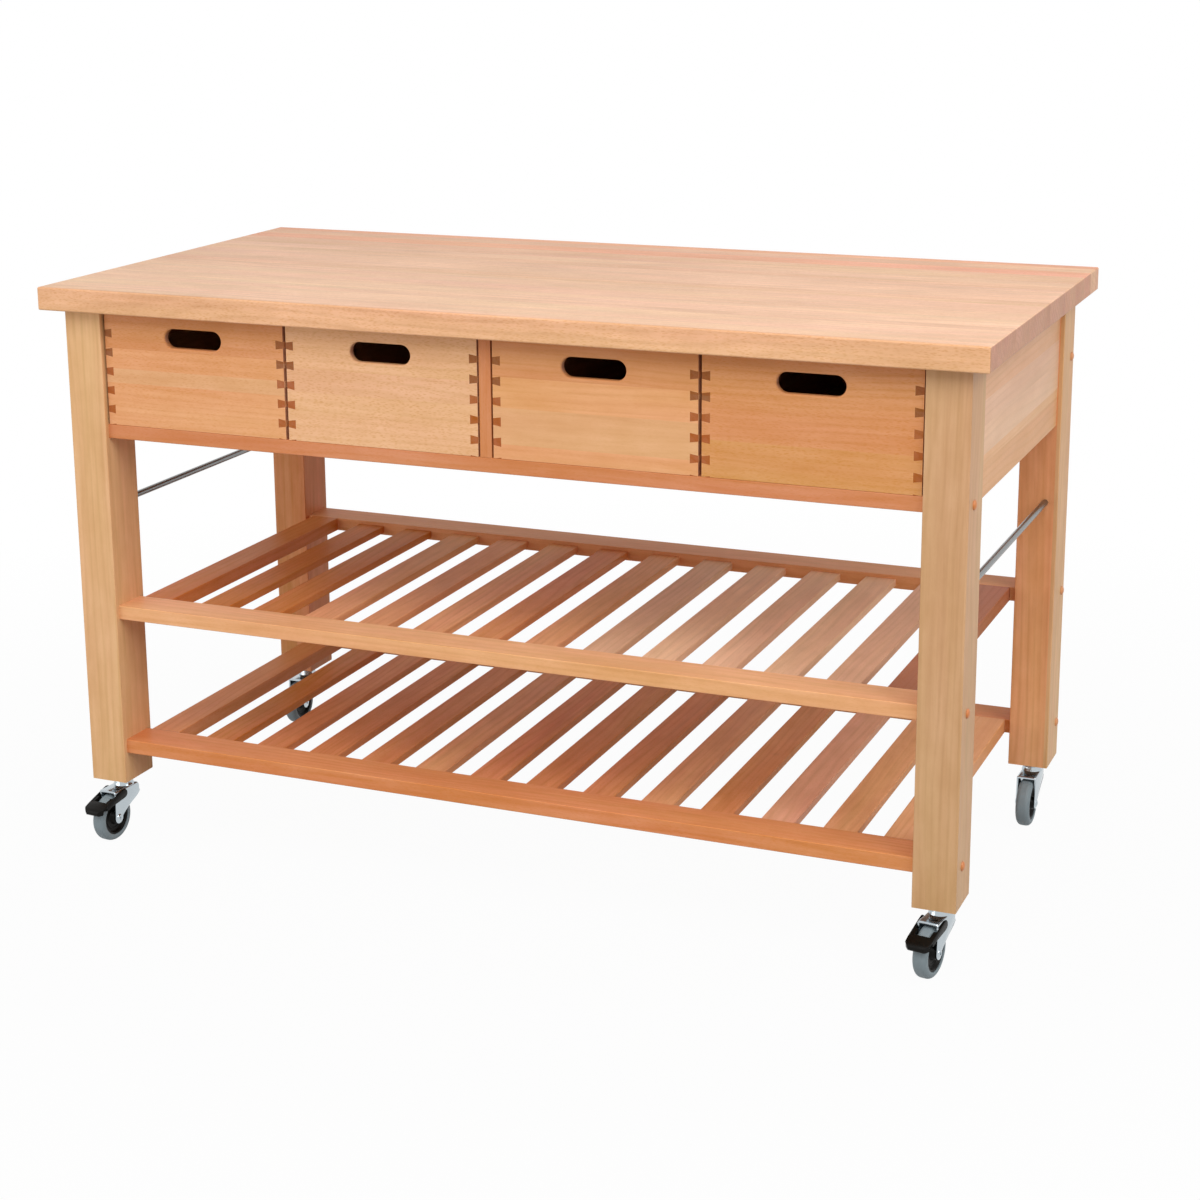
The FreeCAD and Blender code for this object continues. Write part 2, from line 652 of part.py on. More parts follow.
def make_drawer(number, x):
    """One drawer: front and back with tails, sides with pins, and a bottom let into grooves."""
    name = f"drawer_{number}"
    y = FRONT
    back_y = f"{FRONT} + {DRAWER_DEEP} - board_thick"
    right_x = f"{x} + {DRAWER_WIDE} - board_thick"
    inset = "(board_thick - groove_depth)"
    bottom_size = (f"{DRAWER_WIDE} - 2 * {inset}", f"{DRAWER_DEEP} - 2 * {inset}", "bottom_thick")
    at = (f"{x} + {inset}", f"{y} + {inset}", f"{DRAWER_LOW} + bottom_rise")
    bottom = finished(box(f"{name}_bottom", at, bottom_size), f"{name}_bottom")
    front_pins, back_pins = drawer_pins(name, x, y)
    end_size = (DRAWER_WIDE, "board_thick", DRAWER_HIGH)
    front_board = slotted_front(name, box(f"{name}_front_board", (x, y, DRAWER_LOW), end_size), x, y)
    front = finished(cut(f"{name}_front", front_board, [front_pins, bottom]), f"{name}_front")
    back_board = box(f"{name}_back_board", (x, back_y, DRAWER_LOW), end_size)
    back = finished(cut(f"{name}_back", back_board, [back_pins, bottom]), f"{name}_back")
    side_size = ("board_thick", DRAWER_DEEP, DRAWER_HIGH)
    boards = [box(f"{name}_side_{side}", (side_x, y, DRAWER_LOW), side_size)
              for side, side_x in {"left": x, "right": right_x}.items()]
    blanks = group(f"{name}_side_boards", boards)
    finished(cut(f"{name}_sides", blanks, [front, back, bottom]), f"{name}_sides")


def make_drawers():
    """Two drawers each side of the divider."""
    starts = [
        f"(drawer_clear - {LEG_IN_X})",
        f"(-divider_thick / 2 - drawer_clear - {DRAWER_WIDE})",
        "(divider_thick / 2 + drawer_clear)",
        f"({LEG_IN_X} - drawer_clear - {DRAWER_WIDE})",
    ]
    for number, x in enumerate(starts, 1):
        make_drawer(number, x)


def caster_place(end, side, swivel, forward="0", z="0"):
    """A point of one caster, given how far it lies ahead of the king pin and its height off the floor."""
    x = f"{SIDES[side]} * {CASTER_X} + ({forward}) * sin({swivel})"
    y = f"{ENDS[end]} * {CASTER_Y} - ({forward}) * cos({swivel})"
    return (x, y, z)


def make_stem(name):
    """A caster's fixed half: stem, flange, bearing cup and king pin, turned about the king pin."""
    head_top = f"({CROWN} - end_play)"
    profile = [
        ("0", f"{head_top} - pin_head_thick"), ("pin_head / 2", f"{head_top} - pin_head_thick"),
        ("pin_head / 2", head_top), ("pivot_diameter / 2", head_top),
        ("pivot_diameter / 2", f"{RACE_TOP} + end_play"), ("cup_diameter / 2", f"{RACE_TOP} + end_play"),
        ("cup_diameter / 2", f"{FOOT} - flange_thick"), ("flange_diameter / 2", f"{FOOT} - flange_thick"),
        ("flange_diameter / 2", FOOT), ("stem_diameter / 2", FOOT),
        ("stem_diameter / 2", f"{FOOT} + stem_length"), ("0", f"{FOOT} + stem_length"),
    ]
    return turned(name, profile, "V_Axis")


def make_fork(name, braked):
    """A pressed fork: side plates, crown, back wall and bearing race, bored for the king pin and the axle."""
    body = doc.addObject("PartDesign::Body", name)
    sketch = new_sketch(body, f"{name}_side", "YZ_Plane")
    tip_low = f"{AXLE_Z} - fork_tip"
    outline(sketch, [
        ("-fork_front - caster_trail", CROWN_TOP), ("fork_rear", CROWN_TOP),
        ("fork_rear", f"{CROWN_TOP} - fork_skirt"),
        ("fork_tip - caster_trail", tip_low), ("-fork_tip - caster_trail", tip_low),
    ])
    pad(body, sketch, f"2 * {FORK_OUT}", midplane=True)
    doc.recompute()
    hull = body.Shape.BoundBox

    def at_tip(edge):
        return runs_along(edge, X_AXIS) and edge.CenterOfMass.z < hull.ZMin + 0.1

    def at_back(edge):
        return runs_along(edge, X_AXIS) and edge.CenterOfMass.y > hull.YMax - 0.1
    rounded(body, f"{name}_tip", TIP_ROUND, at_tip)
    rounded(body, f"{name}_back", "fork_back_round", at_back)
    sketch = new_sketch(body, f"{name}_inside", "YZ_Plane")
    rectangle(sketch, ("-caster_trail - wheel_diameter", "0"), ("fork_rear - fork_plate", CROWN))
    pocket(body, sketch, f"2 * {FORK_IN}")
    sketch = new_sketch(body, f"{name}_race", "XY_Plane", CROWN)
    ring(sketch, ("0", "0"), "race_diameter")
    pad(body, sketch, "crown_thick + race_height")
    sketch = new_sketch(body, f"{name}_bore", "XY_Plane", CROWN)
    ring(sketch, ("0", "0"), "pivot_diameter + 2 * running_clear")
    pocket(body, sketch)
    sketch = new_sketch(body, f"{name}_axle_holes", "YZ_Plane")
    ring(sketch, ("-caster_trail", AXLE_Z), "axle_diameter + 2 * running_clear")
    if braked:
        ring(sketch, (PIVOT_Y, PIVOT_Z), "stub_diameter + 2 * running_clear")
    pocket(body, sketch)
    return body


def make_axle(name):
    """A rivet through the fork, with a head against each side plate."""
    end = f"({FORK_OUT} + axle_head_thick)"
    profile = [
        (f"-{end}", "0"), (f"-{end}", "axle_diameter / 2"), (f"-{FORK_OUT}", "axle_head / 2"),
        (f"-{FORK_OUT}", "axle_diameter / 2"), (FORK_OUT, "axle_diameter / 2"), (FORK_OUT, "axle_head / 2"),
        (end, "axle_diameter / 2"), (end, "0"),
    ]
    return turned(name, profile, "H_Axis")


def make_hub(name):
    """The wheel's hub: boss, web and rim."""
    half_boss = f"({FORK_IN} - end_play)"
    bore = "axle_diameter / 2 + running_clear"
    rim_in = "rim_diameter / 2 - rim_thick"
    right = [
        (half_boss, bore), (half_boss, "boss_diameter / 2"), ("web_thick / 2", "boss_diameter / 2"),
        ("web_thick / 2", rim_in), ("rim_wide / 2", rim_in), ("rim_wide / 2", "rim_diameter / 2"),
    ]
    left = [(f"-{x}", radius) for x, radius in reversed(right)]
    return turned(name, right + left, "H_Axis")


def make_tyre(name):
    """The tyre on the rim, with rounded shoulders."""
    half, inner, outer = "tyre_wide / 2", "rim_diameter / 2", "wheel_diameter / 2"
    profile = [(f"-{half}", inner), (half, inner), (half, outer), (f"-{half}", outer)]
    body = turned(name, profile, "H_Axis")
    doc.recompute()
    tread = body.Shape.BoundBox.ZMax

    def on_shoulder(edge):
        return edge.Curve.TypeId == "Part::GeomCircle" and edge.Curve.Radius > tread - 0.01
    rounded(body, f"{name}_shoulders", TYRE_ROUND, on_shoulder)
    return body


def pedal_back(height):
    """How far in front of the pivot the foot plate may start, at a height above the pivot, to clear the tyre."""
    stand = f"({PEDAL_STAND} + {height})"
    return f"(-pedal_foot - sqrt({PEDAL_ROOM} * {PEDAL_ROOM} - {stand} * {stand}))"


def make_pedal(name):
    """A brake pedal about its pivot: a foot plate with a nose, and an arm with a stub pin on each side."""
    body = doc.addObject("PartDesign::Body", name)
    nose_low = "pedal_rise - nose_drop"
    nose_back = "nose_thick - pedal_reach"
    sketch = new_sketch(body, f"{name}_side", "YZ_Plane")
    outline(sketch, [
        ("-pedal_reach", PEDAL_TOP), ("ear_wide / 2", PEDAL_TOP), ("ear_wide / 2", "-ear_wide / 2"),
        ("-ear_wide / 2", "-ear_wide / 2"), ("-arm_knee", nose_low), ("-pedal_reach", nose_low),
    ])
    pad(body, sketch, f"2 * {ARM_OUT}", midplane=True)
    doc.recompute()
    hull = body.Shape.BoundBox

    def at_nose(edge):
        return runs_along(edge, Z_AXIS) and edge.CenterOfMass.y < hull.YMin + 0.1

    def at_ear(edge):
        centre = edge.CenterOfMass
        return runs_along(edge, X_AXIS) and (centre.y > hull.YMax - 0.1 or centre.z < hull.ZMin + 0.1)
    rounded(body, f"{name}_nose", "pedal_corner", at_nose)
    rounded(body, f"{name}_ears", "0.45 * ear_wide", at_ear)
    sketch = new_sketch(body, f"{name}_between_arms", "YZ_Plane")
    outline(sketch, [
        (pedal_back(PEDAL_TOP), PEDAL_TOP), (pedal_back(PEDAL_TOP), f"{PEDAL_TOP} + pedal_thick"),
        ("ear_wide", f"{PEDAL_TOP} + pedal_thick"), ("ear_wide", "-ear_wide"), (nose_back, "-ear_wide"),
        (nose_back, "pedal_rise"), (pedal_back("pedal_rise"), "pedal_rise"),
    ])
    pocket(body, sketch, f"2 * {ARM_IN}")
    sketch = new_sketch(body, f"{name}_stubs", "YZ_Plane")
    ring(sketch, ("0", "0"), "stub_diameter")
    pad(body, sketch, f"2 * {ARM_OUT}", midplane=True)
    sketch = new_sketch(body, f"{name}_between_stubs", "YZ_Plane")
    ring(sketch, ("0", "0"), "stub_diameter + 2 * running_clear")
    pocket(body, sketch, f"2 * {FORK_IN}")
    return body


def make_casters():
    """A swivel caster under each leg, trailing to the front, with a brake pedal on the front two."""
    stems = []
    slope = dims.get("pedal_slope")
    for end in ENDS:
        for side in SIDES:
            name = f"{end}_{side}"
            swivel = f"{name}_swivel" if f"{name}_swivel" in SIZES else "0"
            stems.append(place(make_stem(f"stem_{name}"), caster_place(end, side, swivel)))
            fork = place(make_fork(f"fork_{name}", end == "front"), caster_place(end, side, swivel), swivel)
            finished(fork, f"fork_{name}")
            centre = caster_place(end, side, swivel, "caster_trail", AXLE_Z)
            for kind, make in {"axle": make_axle, "hub": make_hub, "tyre": make_tyre}.items():
                finished(place(make(f"{kind}_{name}"), centre, swivel), f"{kind}_{name}")
            if end == "front":
                pedal = make_pedal(f"brake_pedal_{side}")
                tilt = FreeCAD.Rotation(Z_AXIS, dims.get(swivel)) * FreeCAD.Rotation(X_AXIS, slope)
                pedal.Placement = FreeCAD.Placement(FreeCAD.Vector(), tilt)
                place(pedal, caster_place(end, side, swivel, f"-{PIVOT_Y}", PIVOT_Z))
                finished(pedal, f"brake_pedal_{side}")
    finished(group("caster_stems", stems), "caster_stems")


def make_frame():
    """Worktop, legs, panels, rails, runners, shelves and rods, with the joints that they share."""
    make_worktop()
    holes = make_screws()
    end_tongues = make_end_panels()
    runner_tenons = make_runners()
    divider_foot, divider_heel = make_divider()
    back_tongue = make_back_panel(holes, runner_tenons + [divider_heel])
    blank, rail_tenon = cross_rail("drawer_rail", "front", APRON)
    drilled = [holes["front", side, "apron"] for side in SIDES]
    finished(cut("drawer_rail", blank, runner_tenons + [divider_foot] + drilled), "drawer_rail")
    make_cleats()
    shelf_tenons = [make_shelf(shelf, rise, holes) for shelf, rise in SHELVES.items()]
    sockets = make_rods()
    cutters = {}
    for end in ENDS:
        for side in SIDES:
            apron_joint = rail_tenon if end == "front" else back_tongue
            rails = [tenons[end] for tenons in shelf_tenons]
            cutters[end, side] = [end_tongues[side], apron_joint, sockets[side]] + rails
    make_legs(holes, cutters)


def check_model():
    """Stops at any object that failed and any piece that isn't a whole, valid solid."""
    for thing in doc.Objects:
        if "Invalid" in thing.State or "Error" in thing.State:
            raise RuntimeError(f"{thing.Name} failed: {thing.State}")
    for piece in pieces:
        if piece.Shape.isNull() or not piece.Shape.isValid() or not piece.Shape.Solids:
            raise RuntimeError(f"{piece.Label} has no valid solid")


make_frame()
make_drawers()
make_casters()
doc.recompute()
check_model()
os.makedirs("parts", exist_ok=True)
for piece in pieces:
    piece.Shape.exportStep(f"parts/{piece.Label}.step")
    volume = piece.Shape.Volume / 1000
    print(f"{piece.Label}: {len(piece.Shape.Solids)} solids, {volume:.1f} cm3")
print(len(pieces), "pieces")
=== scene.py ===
"""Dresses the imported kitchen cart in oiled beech, zinc, steel and rubber, and sets up its studio."""

import json
import math

import bpy
from bpy.props import FloatProperty, FloatVectorProperty, IntProperty, PointerProperty
from mathutils import Matrix, Vector


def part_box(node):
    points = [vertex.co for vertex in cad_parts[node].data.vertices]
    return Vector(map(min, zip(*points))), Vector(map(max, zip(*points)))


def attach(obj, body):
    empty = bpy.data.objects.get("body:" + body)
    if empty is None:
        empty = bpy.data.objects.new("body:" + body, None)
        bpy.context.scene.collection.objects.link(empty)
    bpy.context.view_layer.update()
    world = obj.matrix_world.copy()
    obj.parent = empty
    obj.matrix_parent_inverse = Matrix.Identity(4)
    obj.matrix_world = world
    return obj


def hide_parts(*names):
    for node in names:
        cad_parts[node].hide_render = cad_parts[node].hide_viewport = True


bl_info = {
    "name": "Kitchen Cart",
    "version": (1, 0, 0),
    "blender": (4, 5, 0),
    "location": "3D View > Sidebar > Cart",
    "description": "Dresses a beech kitchen cart: oiled timber, plugs, casters, light and camera",
    "category": "Object",
}

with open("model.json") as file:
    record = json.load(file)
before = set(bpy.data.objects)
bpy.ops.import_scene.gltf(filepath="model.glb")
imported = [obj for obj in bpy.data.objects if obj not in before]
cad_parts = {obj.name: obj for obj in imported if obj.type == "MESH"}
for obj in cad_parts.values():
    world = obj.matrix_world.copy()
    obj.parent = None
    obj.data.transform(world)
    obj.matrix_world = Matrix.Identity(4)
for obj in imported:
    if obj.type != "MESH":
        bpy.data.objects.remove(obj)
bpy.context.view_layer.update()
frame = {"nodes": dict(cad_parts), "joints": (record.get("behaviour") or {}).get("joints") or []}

MM = 0.001
ENDS = ("front", "back")
SIDES = ("left", "right")
CORNERS = [f"{end}_{side}" for end in ENDS for side in SIDES]
JOINTS = {joint["name"]: joint for joint in frame["joints"]}

# The screw plugs' place along the legs' depth, and their heights
PLUGS = {"front": (-0.308, (0.668, 0.379, 0.159)), "back": (0.3195, (0.756, 0.379, 0.159))}


def paint(code):
    """Turns a colour code into the linear values that a shader takes."""
    parts = [int(code[place:place + 2], 16) / 255 for place in (0, 2, 4)]
    return tuple(part / 12.92 if part <= 0.04045 else ((part + 0.055) / 1.055) ** 2.4 for part in parts)


def tone(name, code, description):
    """A colour that a user may change."""
    return FloatVectorProperty(name=name, description=description, subtype="COLOR", size=3, min=0, max=1,
                               default=paint(code))


def length(name, millimetres, description):
    """A length that a user may change."""
    return FloatProperty(name=name, description=description, subtype="DISTANCE", unit="LENGTH", min=0,
                         precision=4, default=millimetres * MM)


class CartTimberTones(bpy.types.PropertyGroup):
    """The tones of oiled beech that the cart's boards are glued up from"""

    cream: tone("Cream", "E8BD9A", "Palest boards of the worktop, end panels and drawer bottoms")
    # Wheat at the top of the end panels stands partly for painted shade under the worktop
    wheat: tone("Wheat", "E4B086", "Front edge of the worktop and top of the end panels")
    blush: tone("Blush", "E5B796", "Pale pink boards of the worktop and the end panels")
    rose: tone("Rose", "E2B28F", "Pink boards of the worktop and two upper slats")
    fawn: tone("Fawn", "CA9477", "End grain of the worktop's back boards")
    almond: tone("Almond", "EFC09A", "Palest slats")
    mauve: tone("Mauve", "BF8A6F", "End grain of most pieces")
    straw: tone("Straw", "E5B285", "Yellow boards of the second drawer front and the drawers' insides")
    biscuit: tone("Biscuit", "E0AA7B", "Pale boards of two drawer fronts and foot of the end panels")
    honey: tone("Honey", "E2A472", "Golden boards of the drawers and the back panel")
    apricot: tone("Apricot", "D69361", "Orange boards of the drawer fronts and the back panel")
    toffee: tone("Toffee", "D69961", "Lower board of the fourth drawer front")
    # Copper stands partly for painted shade: the back left leg's front lies under the worktop
    copper: tone("Copper", "D99061", "Back left leg")
    sand: tone("Sand", "DCAC7C", "Front left leg and outer sides of the right legs")
    ash: tone("Ash", "CDA176", "Front right leg")
    salmon: tone("Salmon", "D0875A", "Drawer rail and divider")
    gold: tone("Gold", "EAAE7E", "Front rail of the upper shelf")
    peach: tone("Peach", "E8A985", "Reddest boards of the worktop and a lower slat")
    # Amber on the back right leg's front is darker partly as painted shade under the worktop and end panel
    amber: tone("Amber", "E3A171", "Orange slats, back right leg and upper back rail")
    chestnut: tone("Chestnut", "D98D5A", "Red brown slats and lower shelf rails")
    # Russet on the slats is darker partly as painted shade under the worktop
    russet: tone("Russet", "CE7F45", "Darkest slats and front plugs")
    auburn: tone("Auburn", "B06E4C", "Right end rail of the upper shelf")
    rust: tone("Rust", "9D4B13", "End grain of the drawers' lower pins")
    # Umber on the drawers' upper pins is darker partly as painted shade under the worktop's overhang
    umber: tone("Umber", "80400F", "End grain of the drawers' upper pins and the runners")


class CartFittingTones(bpy.types.PropertyGroup):
    """The colours of the metal, plastic and rubber fittings"""

    zinc: tone("Zinc", "B9C2C7", "Bright plating of the casters")
    steel: tone("Steel", "868888", "Hanging rods")
    black: tone("Black", "0B0906", "Hubs and brake pedals")
    rubber: tone("Rubber", "7A868B", "Tyres")


class CartSizes(bpy.types.PropertyGroup):
    """Sizes of the pieces that are modelled here, which match the frame"""

    slat_gap: length("Slat gap", 42.5, "Gap between two slats of a shelf")
    plug_radius: length("Plug radius", 7, "Radius of a screw plug's button")
    plug_dome: length("Plug dome", 3.8, "How far a screw plug's dome stands off the leg")
    trail: length("Trail", 34, "How far a wheel's axle lies ahead of its king pin")
    axle_height: length("Axle height", 37.5, "Height of the axles off the floor")
    wheel_radius: length("Wheel radius", 37.5, "Radius of a tyre's tread")
    tyre_half: length("Tyre half width", 11, "Half the width of a tyre")
    tyre_shoulder: length("Tyre shoulder", 7.5, "Radius of a tyre's round shoulder")
    rim_radius: length("Rim radius", 27.5, "Radius of the rim that carries the tyre")
    fork_half: length("Fork half width", 15.5, "Half the outer width of a fork")
    fork_plate: length("Fork plate", 2.5, "Thickness of a fork's plate")
    crown_height: length("Crown height", 82.5, "Height of a fork's crown off the floor")
    pedal_wide: length("Pedal width", 37, "Width of a brake pedal")
    arm_thick: length("Pedal arm thickness", 2.6, "Thickness of each arm of a brake pedal")
    pedal_slope: FloatProperty(name="Pedal slope", description="Tilt of a brake pedal when it is up",
                               subtype="ANGLE", unit="ROTATION", default=math.radians(18))
    turn_steps: IntProperty(name="Turning steps", description="Facets round each turned piece",
                            min=12, default=64)


class CartStage(bpy.types.PropertyGroup):
    """Light level and camera of the studio"""

    world_light: FloatProperty(name="Room light", description="Strength of the even light from all round",
                               default=0.52)
    key_light: FloatProperty(name="Key light", description="Power of the large lamp high in front",
                             subtype="POWER", unit="POWER", default=60)
    left_light: FloatProperty(name="Left light", description="Power of the large low lamp at the left",
                              subtype="POWER", unit="POWER", default=25)
    right_light: FloatProperty(name="Right light", description="Power of the large lamp at the right",
                               subtype="POWER", unit="POWER", default=51)
    top_light: FloatProperty(name="Top light", description="Power of the large lamp overhead",
                             subtype="POWER", unit="POWER", default=18)
    lamp_size: FloatProperty(name="Lamp size", description="Width and height of each lamp",
                             subtype="DISTANCE", unit="LENGTH", default=2.2)
    floor_size: FloatProperty(name="Floor size", description="Width and depth of the floor",
                              subtype="DISTANCE", unit="LENGTH", default=24)
    floor_grey: FloatProperty(name="Floor grey", description="How much light the floor throws back",
                              subtype="FACTOR", min=0, max=1, default=0.42)
    floor_white: FloatProperty(name="Floor white", description="How far the floor under the cart is plain white",
                               subtype="FACTOR", min=0, max=1, default=0.965)
    eye: FloatVectorProperty(name="Eye", description="Place of the camera", subtype="TRANSLATION",
                             unit="LENGTH", default=(1.3705, -3.2331, 1.4266))
    yaw: FloatProperty(name="Yaw", description="Turn of the camera to the left", subtype="ANGLE",
                       unit="ROTATION", default=math.radians(23.147))
    pitch: FloatProperty(name="Pitch", description="Downward tilt of the camera", subtype="ANGLE",
                         unit="ROTATION", default=math.radians(13.689))
    roll: FloatProperty(name="Roll", description="Clockwise roll of the camera", subtype="ANGLE",
                        unit="ROTATION", default=math.radians(0.539))
    lens: FloatProperty(name="Lens", description="Focal length on a 36 mm sensor", subtype="DISTANCE_CAMERA",
                        default=69.63)
    shift: FloatVectorProperty(name="Shift", description="Shift of the frame, as a share of its width",
                               size=2, default=(0.025, -0.1))


# Shader nodes

def shader(tree, kind, inputs=None, **settings):
    """Adds a node, sets it up, and fills its sockets with values or links."""
    node = tree.nodes.new(kind)
    for name, value in settings.items():
        setattr(node, name, value)
    for key, value in (inputs or {}).items():
        if isinstance(value, bpy.types.NodeSocket):
            tree.links.new(value, node.inputs[key])
        else:
            node.inputs[key].default_value = value
    return node


def sums(tree, operation, first, second=0.0, third=0.0):
    """The result of a sum on sockets or numbers."""
    node = shader(tree, "ShaderNodeMath", {0: first, 1: second, 2: third}, operation=operation)
    return node.outputs[0]


def stretched(tree, vector, scale):
    """A place scaled by its own amount along each axis."""
    node = shader(tree, "ShaderNodeVectorMath", {0: vector, 1: scale}, operation="MULTIPLY")
    return node.outputs[0]


def speckle(tree, vector, scale, detail=2.0, roughness=0.5):
    """Soft noise about one half, on a place that is scaled along each axis."""
    place = stretched(tree, vector, scale)
    inputs = {"Vector": place, "Scale": 1.0, "Detail": detail, "Roughness": roughness}
    return shader(tree, "ShaderNodeTexNoise", inputs).outputs["Fac"]


def spread(tree, value, low, high, bottom, top):
    """Maps one range onto another, and stops at its ends."""
    inputs = {"Value": value, "From Min": low, "From Max": high, "To Min": bottom, "To Max": top}
    return shader(tree, "ShaderNodeMapRange", inputs).outputs["Result"]


def blank_material(name):
    """A new material with only its shader and output."""
    material = bpy.data.materials.new(name)
    material.use_nodes = True
    tree = material.node_tree
    tree.nodes.clear()
    surface = tree.nodes.new("ShaderNodeBsdfPrincipled")
    output = tree.nodes.new("ShaderNodeOutputMaterial")
    tree.links.new(surface.outputs["BSDF"], output.inputs["Surface"])
    return material, tree, surface


def raise_grain(tree, surface, height, strength, distance):
    """Gives a surface its small relief."""
    inputs = {"Height": height, "Strength": strength, "Distance": distance}
    bump = shader(tree, "ShaderNodeBump", inputs)
    tree.links.new(bump.outputs["Normal"], surface.inputs["Normal"])


def centred(tree, vector, scale, detail=2.0, roughness=0.5):
    """Soft noise about zero, on a place that is scaled along each axis."""
    return sums(tree, "SUBTRACT", speckle(tree, vector, scale, detail, roughness), 0.5)


def beech_figure():
    """The figure of beech in one board, as a group: streaks, growth lines, blotches, flecks and pin knots."""
    name = "beech figure"
    if name in bpy.data.node_groups:
        return bpy.data.node_groups[name]
    tree = bpy.data.node_groups.new(name, "ShaderNodeTree")
    for label, kind in (("Place", "Vector"), ("Tone", "Color"), ("Figure", "Float"), ("Fleck", "Float")):
        tree.interface.new_socket(label, in_out="INPUT", socket_type=f"NodeSocket{kind}")
    for label, kind in (("Tone", "Color"), ("Roughness", "Float"), ("Height", "Float")):
        tree.interface.new_socket(label, in_out="OUTPUT", socket_type=f"NodeSocket{kind}")
    given = tree.nodes.new("NodeGroupInput").outputs
    place = given["Place"]
    wander = centred(tree, place, (1.1, 7, 7))
    sway = shader(tree, "ShaderNodeCombineXYZ", {"Y": sums(tree, "MULTIPLY", wander, 0.02)}).outputs[0]
    drawn = shader(tree, "ShaderNodeVectorMath", {0: place, 1: sway}).outputs[0]
    streak = centred(tree, drawn, (5, 130, 130), 4, 0.62)
    blotch = centred(tree, place, (4, 13, 13), 3)
    cloud = centred(tree, place, (24, 48, 48))
    warmth = centred(tree, place, (1.7, 19, 23))

    # Growth lines, which fade in and out with the blotches
    axes = shader(tree, "ShaderNodeSeparateXYZ", {0: drawn}).outputs
    spacing = sums(tree, "MULTIPLY_ADD", axes["Y"], 480, sums(tree, "MULTIPLY", axes["Z"], 330))
    phase = sums(tree, "MULTIPLY_ADD", wander, 46, spacing)
    wave = sums(tree, "MULTIPLY_ADD", sums(tree, "SINE", phase), 0.5, 0.5)
    line = sums(tree, "MULTIPLY", sums(tree, "POWER", wave, 4), spread(tree, blotch, -0.1, 0.15, 0.4, 1))

    # Short dark flecks, thicker in some places than in others
    inputs = {"Vector": stretched(tree, drawn, (130, 560, 560)), "Scale": 1.0}
    near = shader(tree, "ShaderNodeTexVoronoi", inputs).outputs["Distance"]
    thick = spread(tree, cloud, -0.2, 0.2, 0.4, 1)
    dash = sums(tree, "MULTIPLY", spread(tree, near, 0.15, 0.48, 1, 0), thick)
    fleck = sums(tree, "MULTIPLY", dash, given["Fleck"])

    # Pin knots, in one cell of ten, with a dark heart and a faint halo
    inputs = {"Vector": stretched(tree, place, (9, 9, 0.4)), "Scale": 1.0}
    cell = shader(tree, "ShaderNodeTexVoronoi", inputs).outputs
    chance = shader(tree, "ShaderNodeSeparateXYZ", {0: cell["Color"]}).outputs[0]
    rare = sums(tree, "GREATER_THAN", chance, 0.9)
    heart = spread(tree, cell["Distance"], 0.012, 0.03, 0.42, 0)
    halo = spread(tree, cell["Distance"], 0.02, 0.09, 0.1, 0)
    knot = sums(tree, "MULTIPLY", sums(tree, "ADD", heart, halo), rare)

    # The board's tone, made lighter, darker, redder and yellower by all of these
    mottle = sums(tree, "MULTIPLY_ADD", blotch, 0.22, sums(tree, "MULTIPLY", streak, 0.2))
    mottle = sums(tree, "MULTIPLY_ADD", cloud, 0.1, mottle)
    mottle = sums(tree, "MULTIPLY_ADD", line, -0.05, mottle)
    value = sums(tree, "MULTIPLY_ADD", mottle, given["Figure"], 1.0)
    value = sums(tree, "MULTIPLY_ADD", fleck, -0.11, sums(tree, "SUBTRACT", value, knot))
    hue = sums(tree, "MULTIPLY_ADD", sums(tree, "MULTIPLY", warmth, given["Figure"]), 0.018, 0.5)
    richness = sums(tree, "MULTIPLY_ADD", mottle, -0.7, sums(tree, "MULTIPLY_ADD", fleck, 0.12, 1.0))
    inputs = {"Hue": hue, "Saturation": richness, "Value": value, "Color": given["Tone"]}
    toned = shader(tree, "ShaderNodeHueSaturation", inputs).outputs["Color"]
    rough = sums(tree, "MULTIPLY_ADD", streak, 0.3, 0.44)
    height = sums(tree, "MULTIPLY_ADD", fleck, -0.6, streak)
    shader(tree, "NodeGroupOutput", {"Tone": toned, "Roughness": rough, "Height": height})
    return tree


def banded(tree, across, bands):
    """The tones of boards side by side, from where each one starts in millimetres and its tone's name."""
    tones = bpy.context.scene.cart_timber
    low = bands[0][0] * MM
    high = bands[-1][0] * MM + 1
    ramp = shader(tree, "ShaderNodeValToRGB", {"Fac": spread(tree, across, low, high, 0, 1)})
    ramp.color_ramp.interpolation = "CONSTANT"
    stops = ramp.color_ramp.elements
    while len(stops) < len(bands):
        stops.new(1.0)
    for stop, (start, tone_name) in zip(stops, bands):
        stop.position = (start * MM - low) / (high - low)
        stop.color = (*getattr(tones, tone_name), 1)
    return ramp.outputs["Color"]


